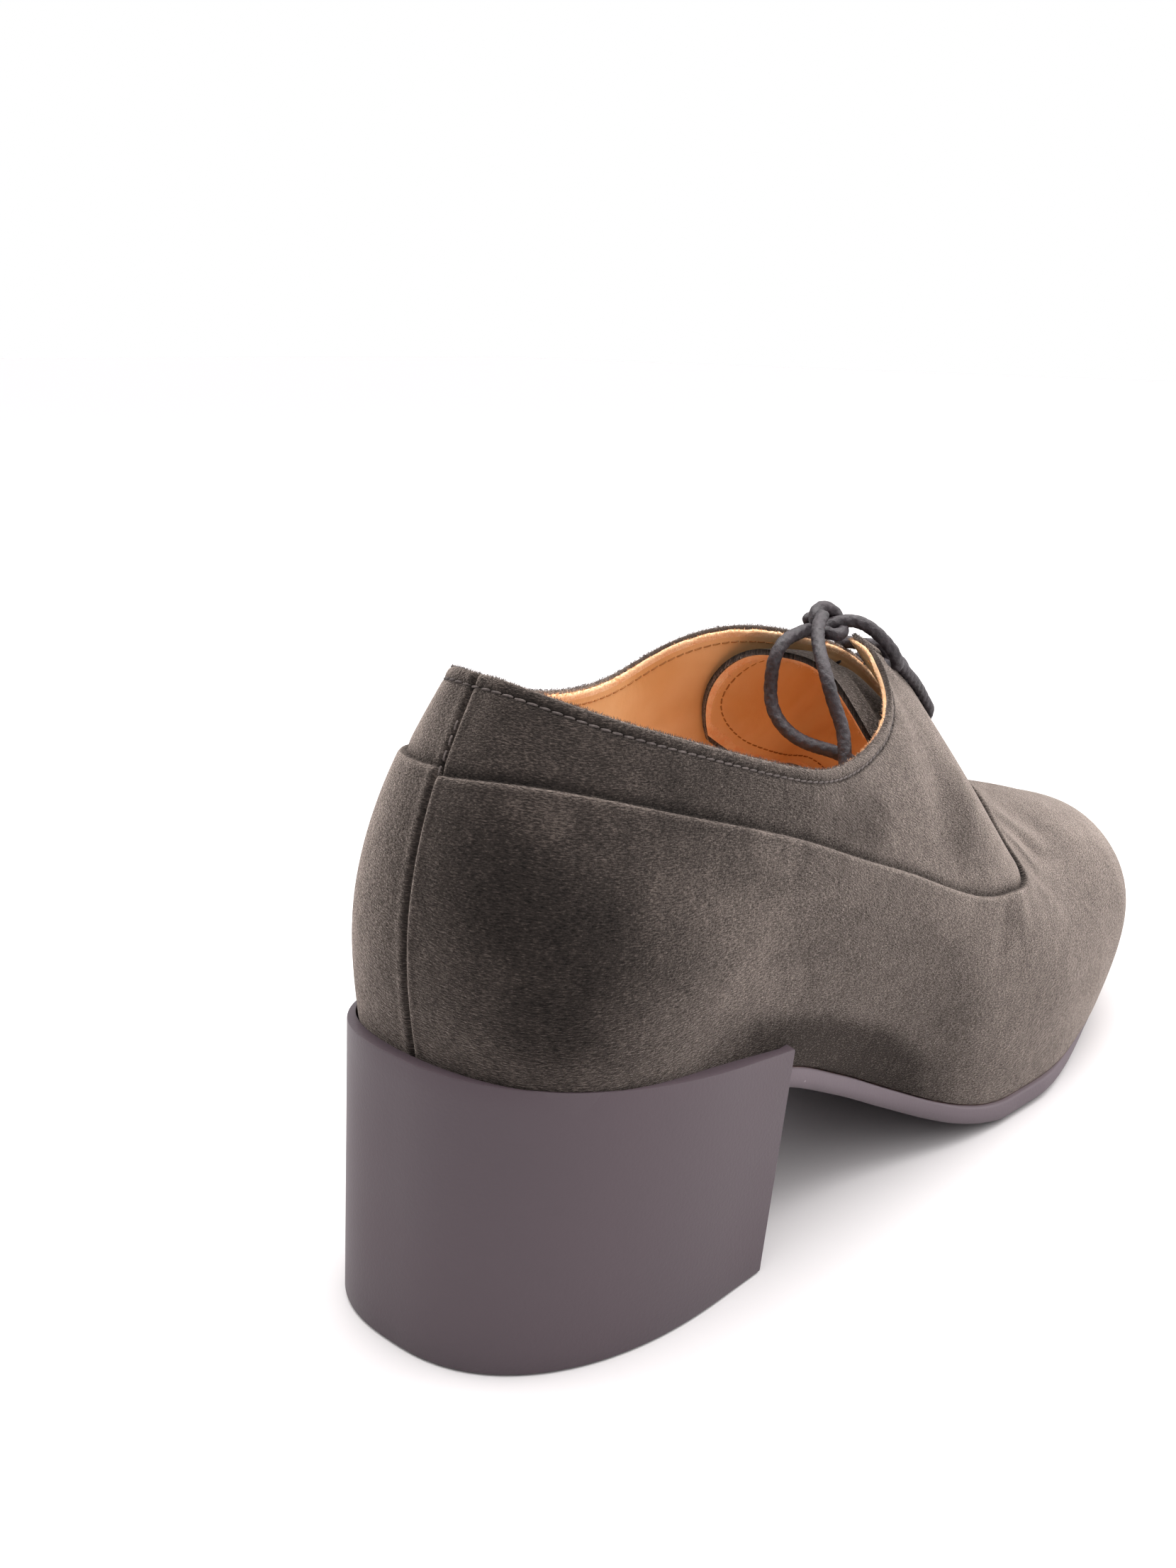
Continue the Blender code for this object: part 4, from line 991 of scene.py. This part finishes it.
def make_edge_fibres(last):
    """Fuzz of the raw lining, and of the suede's edge at the collar."""
    roots, directions = rim_fibres(last, 3000, LINING_TOP_GAP + 0.15, (1.95, 2.6), -0.2)
    lining = make_fibres("lining_fibres", roots, directions, 0.8, RAW_EDGE)
    roots, directions = rim_fibres(last, 5000, 0.1, (0.7, 1.6), 0.1)
    collar = make_fibres("collar_fibres", roots, directions, 0.7, NAP_HAIR)


# Sole, insole and heel

def feather_loop(last, stations):
    return last.controls(stations)[:, 0]


def plan_offset(loop, distance):
    """Moves a closed loop outward in plan by a distance, or by one for each point."""
    along = np.roll(loop, -1, axis=0) - np.roll(loop, 1, axis=0)
    outward = np.column_stack([along[:, 1], -along[:, 0], np.zeros(len(loop))])
    return loop + unit(outward) * np.reshape(distance, (-1, 1))


def even_stations(last, parts):
    return np.arange(last.count * parts) / parts


def make_outsole(last):
    loop = feather_loop(last, even_stations(last, 14))
    margin = np.interp(loop[:, 0], *zip(*SOLE_MARGINS))
    rings = []
    for inset, drop in ((3.0, 0.0), (0.5, 0.0), (0.15, 0.12), (0.0, 0.5)):
        ring = plan_offset(loop, margin - inset)
        ring[:, 2] = sole_top(ring[:, 0]) - drop
        rings.append(ring)
    for turn in np.radians(np.linspace(0.0, 90.0, 8)):
        ring = plan_offset(loop, margin - SOLE_EDGE_RADIUS * (1.0 - np.cos(turn)))
        ring[:, 2] = sole_underside(ring[:, 0]) + SOLE_EDGE_RADIUS * (1.0 - np.sin(turn))
        rings.append(ring)
    made = capped_skin("sole_shell", rings[::-1], SOLE_FINISH)
    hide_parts("outsole")


def make_insole(last):
    loop = feather_loop(last, even_stations(last, 10))
    rings = []
    for inset, drop in ((0.3, 2.5), (0.0, 2.2), (0.0, 0.6), (0.25, 0.2), (0.8, 0.0), (4.0, 0.0)):
        ring = plan_offset(loop, -INSOLE_INSET - inset)
        ring[:, 2] = sole_top(ring[:, 0]) + CLEARANCE + INSOLE_THICKNESS - drop
        rings.append(ring)
    made = capped_skin("sock_lining", rings, SOCK)
    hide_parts("insole")


def fan_angles(cup):
    """Directions of the heel's rows from one point inside it; the forward ones stop short of the breast."""
    ahead = cup[:, 0] - HEEL_FAN_X
    ahead = np.where(ahead > 0.0, ahead * HEEL_FAN_PULL, ahead)
    return np.arctan2(cup[:, 1], ahead)


def heel_plan_radius(plan, angles):
    """Distance from the fan's point to the plan outline, along each angle."""
    centre, back, lateral, medial, _ = plan
    low = np.zeros(len(angles))
    high = np.full(len(angles), HEEL_REACH)
    for _ in range(50):
        middle = (low + high) / 2.0
        x = HEEL_FAN_X + middle * np.cos(angles)
        y = middle * np.sin(angles)
        behind = np.clip((centre - x) / back, 0.0, None)
        width = np.where(y < 0.0, lateral, medial)
        power = np.where(y < 0.0, HEEL_LATERAL_POWER, HEEL_MEDIAL_POWER)
        inside = behind ** power + (np.abs(y) / width) ** power < 1.0
        low = np.where(inside, middle, low)
        high = np.where(inside, high, middle)
    return low


def rim_height(x):
    return HEEL_RIM_BACK_Z - HEEL_RIM_SLOPE * x


def breast_x(z):
    """Front face of the heel: a plane that leans forward towards the sole."""
    floor = HEEL_PLAN_FLOOR[4]
    rim = HEEL_PLAN_RIM[4]
    return floor + (rim - floor) * z / rim_height(rim)


def seat_of_rim(last, stations):
    """Where the rim of the heel cup meets the upper, just clear of its face."""
    fractions = np.tile(np.linspace(0.0, 0.4, 161), (len(stations), 1))
    points, normals = last.surface(stations, fractions)
    above = points[:, :, 2] >= rim_height(points[:, :, 0])
    first = above.argmax(axis=1)
    row = np.arange(len(stations))
    return (points[row, first] + (GALOSH_PROUD + HEEL_LIP_GAP) * normals[row, first])[:, :2]


def make_heel(last):
    """The block: fine rings from the floor up the side, over the rim and down into the cup."""
    stations = np.linspace(-3.9, 3.9, 240)
    fine = even_stations(last, 60)
    cup = plan_offset(feather_loop(last, fine), HEEL_CUP_MARGIN)
    from_back = np.where(fine > last.count / 2, fine - last.count, fine)
    order = np.argsort(from_back)
    cup = read_along(stations, from_back[order], cup[order, :2])
    keep = cup[:, 0] < HEEL_PLAN_RIM[4] - HEEL_CUP_SETBACK
    lip = seat_of_rim(last, stations)[keep][::-1]
    cup = cup[keep][::-1]
    angles = fan_angles(cup)
    floor_radius, rim_radius = [heel_plan_radius(plan, angles) for plan in (HEEL_PLAN_FLOOR, HEEL_PLAN_RIM)]

    def outline(share, inset):
        radius = floor_radius + (rim_radius - floor_radius) * share - inset
        ring = np.column_stack([HEEL_FAN_X + radius * np.cos(angles), radius * np.sin(angles)])
        plan = np.array(HEEL_PLAN_FLOOR) * (1.0 - share) + np.array(HEEL_PLAN_RIM) * share
        return np.vstack([(plan[4], -plan[2] + inset), ring, (plan[4], plan[3] - inset)])

    def at_height(ring, heights):
        ring = np.column_stack([ring, np.broadcast_to(heights, len(ring))])
        for end in (0, -1):
            ring[end, 0] = breast_x(ring[end, 2])
        return ring

    rows = []
    for inset, height in ((1.2, 0.0), (0.5, 0.0), (0.15, 0.15), (0.0, 0.5)):
        rows.append(at_height(outline(0.0, inset), height))
    for share in np.linspace(0.0, 1.0, 14)[1:]:
        ring = outline(share, 0.0)
        rows.append(at_height(ring, share * (rim_height(ring[:, 0]) - 0.35) + (1.0 - share) * 0.5))
    for inset, drop in ((0.08, 0.1), (0.35, 0.0)):
        ring = outline(1.0, inset)
        rows.append(at_height(ring, rim_height(ring[:, 0]) - drop))
    top = np.vstack([lip[0], lip, lip[-1]])
    rows.append(at_height(top, rim_height(top[:, 0])))
    low = np.vstack([cup[0], cup, cup[-1]])
    seat = at_height(low, sole_underside(low[:, 0]) - CLEARANCE)
    for end in (0, -1):
        for _ in range(8):
            seat[end, 2] = sole_underside(seat[end, 0]) - CLEARANCE
            seat[end, 0] = breast_x(seat[end, 2])
    rows.append(seat)

    points = np.array(rows)
    index = corner_grid(points)
    faces = cells(index).reshape(-1, 4).tolist() + turned(rungs(index[0])) + rungs(index[-1])
    faces.append([*index[:, 0].tolist(), *index[::-1, -1].tolist()])
    mesh = new_mesh("heel_block", points.reshape(-1, 3), faces, sharp=40.0)
    made = new_object("heel_block", mesh, [HEEL_FINISH])
    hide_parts("heel")


# The tongue

def tongue_point(along, across):
    """Top face of the tongue; along runs from its rounded top to its toe end, across from -1 to 1."""
    out = np.abs(across)
    medial_top = TONGUE_MEDIAL_SWEEP * out ** 2 + TONGUE_CORNER * out ** TONGUE_CORNER_POWER
    top = TONGUE_TOP_X + np.where(across < 0.0, TONGUE_LATERAL_SWEEP * out ** 2, medial_top)
    x = top + (TONGUE_SECTIONS[-1][0] - top) * along
    crest, *sides = [table_curve(TONGUE_SECTIONS, k, x) for k in range(1, 8)]
    half, drop, power = [np.where(across < 0.0, sides[k], sides[k + 1]) for k in (0, 2, 4)]
    return np.stack([x, half * across, crest - drop * out ** power], axis=-1)


def tongue_layer(depth, inset):
    """Grid of points on the tongue, a depth under its top face and drawn in from its edge."""
    along = np.linspace(inset * 0.27, 1.0, 90)[:, None]
    across = np.linspace(-1.0 + inset, 1.0 - inset, 61)[None, :]
    along, across = np.broadcast_arrays(along, across)
    small = 0.01
    top = tongue_point(along, across)
    side = tongue_point(along, across + small) - tongue_point(along, across - small)
    ahead = tongue_point(along + small, across) - tongue_point(along - small, across)
    normal = unit(np.cross(ahead, side))
    return top - depth * normal, normal


def closed_sheet(name, upper, lower, materials, edge_slot=0):
    """A sheet between two grids as a closed solid; its cut edges take their own material."""
    points = np.concatenate([upper, lower[:, ::-1]], axis=1)
    count, width = points.shape[:2]
    half = width // 2
    index = corner_grid(points)
    column_slots = np.zeros(width, int)
    column_slots[[half - 1, width - 1]] = edge_slot
    ends = rungs(index[0]) + turned(rungs(index[-1]))
    slots = np.append(np.tile(column_slots, count - 1), np.full(len(ends), edge_slot))
    faces = turned(round_faces(index).tolist()) + ends
    mesh = new_mesh(name, points.reshape(-1, 3), faces, sharp=50.0)
    mesh.polygons.foreach_set("material_index", slots.tolist())
    corners = np.concatenate([np.array(face) for face in faces])
    # Tones of the sheet's two faces; on the tongue's suede the top face's dark tone is painted shade.
    tones = np.tile(np.repeat(TONGUE_TONES, half), count)
    set_skin_data(mesh, points.reshape(-1, 3)[corners, :2], tones)
    return new_object(name, mesh, materials)


def border(grid, step):
    """Points along the tongue's border, up its inner side, over its top and down its outer side."""
    return np.concatenate([grid[60:0:-1, -1 - step], grid[step, ::-1], grid[1:60, step]])


def make_tongue():
    top, _ = tongue_layer(0.0, 0.0)
    middle, _ = tongue_layer(TONGUE_SUEDE, 0.0)
    outer = closed_sheet("tongue_suede", top, middle, [SUEDE])
    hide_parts("tongue")
    upper, _ = tongue_layer(TONGUE_SUEDE + 0.02, TONGUE_LINING_INSET)
    under, normal = tongue_layer(TONGUE_SUEDE + TONGUE_LINING, TONGUE_LINING_INSET + TONGUE_LINING_BEVEL)
    inner = closed_sheet("tongue_lining", upper, under, [LINING, RAW_EDGE], 1)

    edge = border(under, 0)
    picked = RANDOM.integers(0, len(edge), TONGUE_FIBRES)
    outward = unit((edge - border(under, 2))[picked])
    roots = edge[picked] + RANDOM.normal(0.0, 0.2, (TONGUE_FIBRES, 3)) - 0.25 * outward
    directions = outward + RANDOM.normal(0.0, FIBRE_SPREAD, (TONGUE_FIBRES, 3))
    fibres = make_fibres("tongue_fibres", roots, directions, 0.8, RAW_EDGE)

    rim = edge[:TONGUE_SEWN_POINTS]
    facing = -border(normal, 0)[:TONGUE_SEWN_POINTS]
    inward = unit(np.cross(facing, np.gradient(rim, axis=0)))
    inward *= np.sign(np.sum(inward * (under[20, 30] - rim), axis=1, keepdims=True))
    path = smooth_route((rim + TONGUE_STITCH * inward)[::9], 0.5)
    facing = read_along(np.linspace(0.0, 1.0, len(path)), np.linspace(0.0, 1.0, len(rim)), facing)
    stitches = stitch_row("tongue_stitches", path, facing, 2.0, 1.4, 0.17, STITCH_TAN, 0.05)


# The lace

def braid(distance, angles):
    """Raised strands of a round braid, winding both ways round the lace."""
    one = np.sin(BRAID_STRANDS * angles + distance * BRAID_TURN)
    other = np.sin(BRAID_STRANDS * angles - distance * BRAID_TURN)
    return BRAID_HEIGHT * (np.maximum(one, other) - 0.5)


def lace_seat(last, station, edge_distance):
    """Centre of a lace that lies on the facing, a given distance below its edge."""
    stations = np.array([station])
    fraction = 1.0 - edge_distance / last.rib_lengths(stations)
    points, normals = last.surface(stations, fraction.reshape(1, 1))
    rise = LACE_RADIUS + LACE_SEAT_GAP - QUARTER_SUNK
    return points[0, 0] + rise * normals[0, 0], normals[0, 0]


def lace_shell(route):
    rings, centre = sweep(route, LACE_RADIUS, LACE_STEP, LACE_SIDES, braid)
    return tube_shell(rings), centre


def make_lace_crossings(last):
    """The runs along both facings and the bars tucked under them across the throat."""
    first = LACE_BAR_STATIONS[0] - LACE_RAIL_OVERRUN
    final = LACE_BAR_STATIONS[-1] + LACE_RAIL_OVERRUN
    shells = []
    for side in (1.0, -1.0):
        stations = side * np.linspace(first, final, 9)
        seats = [lace_seat(last, station, LACE_EDGE_DISTANCE) for station in stations]
        route = [seat for seat, _ in seats]
        for end in (0, -1):
            route[end] = route[end] - LACE_END_TUCK * seats[end][1]
        shells.append(lace_shell(route)[0])
    for station in LACE_BAR_STATIONS:
        tucked = []
        edges = []
        for side in (1.0, -1.0):
            seat, normal = lace_seat(last, side * station, LACE_EDGE_DISTANCE)
            tucked.append(seat - LACE_BAR_TUCK * normal)
            edges.append(lace_seat(last, side * station, LACE_EDGE_BEND)[0])
        middle = (edges[0] + edges[1]) / 2.0 + np.array(LACE_BAR_LIFT)
        shells.append(lace_shell([tucked[0], edges[0], middle, edges[1], tucked[1]])[0])
    made = joined_mesh("lace_ladder", shells, LACE_FINISH)
    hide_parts("lace_crossings")


def view_axes():
    """Right, up and towards the camera, as the photograph is seen."""
    azimuth = np.radians(CAMERA_AZIMUTH)
    elevation = np.radians(CAMERA_ELEVATION)
    roll = np.radians(CAMERA_ROLL)
    back = np.array([np.sin(azimuth) * np.cos(elevation), -np.cos(azimuth) * np.cos(elevation),
                     np.sin(elevation)])
    level = np.array([np.cos(azimuth), np.sin(azimuth), 0.0])
    up = np.cross(back, level)
    right_turned = level * np.cos(roll) + up * np.sin(roll)
    up_turned = up * np.cos(roll) - level * np.sin(roll)
    return right_turned, up_turned, back


def make_knot():
    basis = np.stack(view_axes())
    centre = np.array(LACE_KNOT_CENTRE)
    arch = centre + np.array(KNOT_ARCH) @ basis
    wrap = centre + np.array(KNOT_WRAP) @ basis
    medial = [centre + np.array([1.0, 0.6, -0.4]), *LACE_MEDIAL_ROUTE]
    shells = [lace_shell(route)[0] for route in (arch, wrap, medial)]
    made = joined_mesh("lace_bow_knot", shells, LACE_FINISH)
    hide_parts("lace_knot")
    return made


def make_lace_loop():
    shell, centre = lace_shell(LACE_STRAND_ROUTE[::-1] + LACE_KNOT_ROUTE + LACE_LOOP_ROUTE)
    made = joined_mesh("lace_loop_strand", [shell], LACE_FINISH)
    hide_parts("lace_loop", "lace_strand")


# Stage, light and camera

def make_stage():
    corners = FLOOR_REACH * np.array([(-1.0, -1.0), (1.0, -1.0), (1.0, 1.0), (-1.0, 1.0)])
    mesh = bpy.data.meshes.new("floor")
    mesh.from_pydata([(x, y, FLOOR_Z) for x, y in corners.tolist()], [], [(0, 1, 2, 3)])
    finish = material_nodes("floor_white").finish({"Base Color": FLOOR_COLOUR, "Roughness": 0.75})
    mesh.materials.append(finish)
    floor = bpy.data.objects.new("floor", mesh)
    bpy.context.scene.collection.objects.link(floor)


def make_world():
    """Soft studio light: bright above and behind the shoe, dim on the photographed side, seen as white."""
    nodes = Nodes(bpy.data.worlds.new("studio"))
    direction = nodes.make("TexCoord", "Generated", {})
    total = 0.0
    for axis, start, end, low, high in STUDIO_GRADIENTS:
        along = nodes.make("VectorMath", "Value", {0: direction, 1: axis}, operation="DOT_PRODUCT")
        total = nodes.math("ADD", nodes.ramp(along, start, end, low, high, "SMOOTHSTEP"), total)
    studio = nodes.tree.nodes["Background"]
    nodes.feed(studio, {"Color": STUDIO_COLOUR, "Strength": total})
    backdrop = nodes.make("Background", "Background", {"Color": (1.0, 1.0, 1.0, 1.0)})
    seen = nodes.make("LightPath", "Is Camera Ray", {})
    choice = nodes.make("MixShader", "Shader", {0: seen, 1: studio.outputs["Background"], 2: backdrop})
    nodes.feed(nodes.tree.nodes["World Output"], {"Surface": choice})
    bpy.context.scene.world = nodes.owner


def make_lights():
    for name, place, target, size, power in AREA_LIGHTS:
        data = bpy.data.lights.new(name, "AREA")
        data.shape = "RECTANGLE"
        data.size, data.size_y = size
        data.energy = power
        data.color = LIGHT_COLOUR
        lamp = bpy.data.objects.new(name, data)
        lamp.location = place
        lamp.rotation_euler = (Vector(target) - Vector(place)).to_track_quat("-Z", "Y").to_euler()
        bpy.context.scene.collection.objects.link(lamp)


def make_camera():
    right, up, back = view_axes()
    centre = (np.array(CAMERA_TARGET) + back * CAMERA_DISTANCE
              + right * CAMERA_SHIFT[0] + up * CAMERA_SHIFT[1])
    data = bpy.data.cameras.new("camera")
    data.sensor_width = SENSOR
    data.lens = CAMERA_LENS
    data.clip_start = 0.01
    camera = bpy.data.objects.new("camera", data)
    place = Matrix(np.column_stack([right, up, back]).tolist()).to_4x4()
    place.translation = Vector(row_frame(centre))
    camera.matrix_world = place
    bpy.context.scene.collection.objects.link(camera)
    bpy.context.scene.camera = camera


bpy.context.scene.view_settings.view_transform = "Standard"
make_camera()
make_stage()
make_world()
make_lights()
last = Last()
knot = make_knot()
make_lace_loop()
make_lace_crossings(last)
make_upper(last)
make_stitches(last)
make_outsole(last)
make_insole(last)
make_heel(last)
make_tongue()
make_edge_fibres(last)
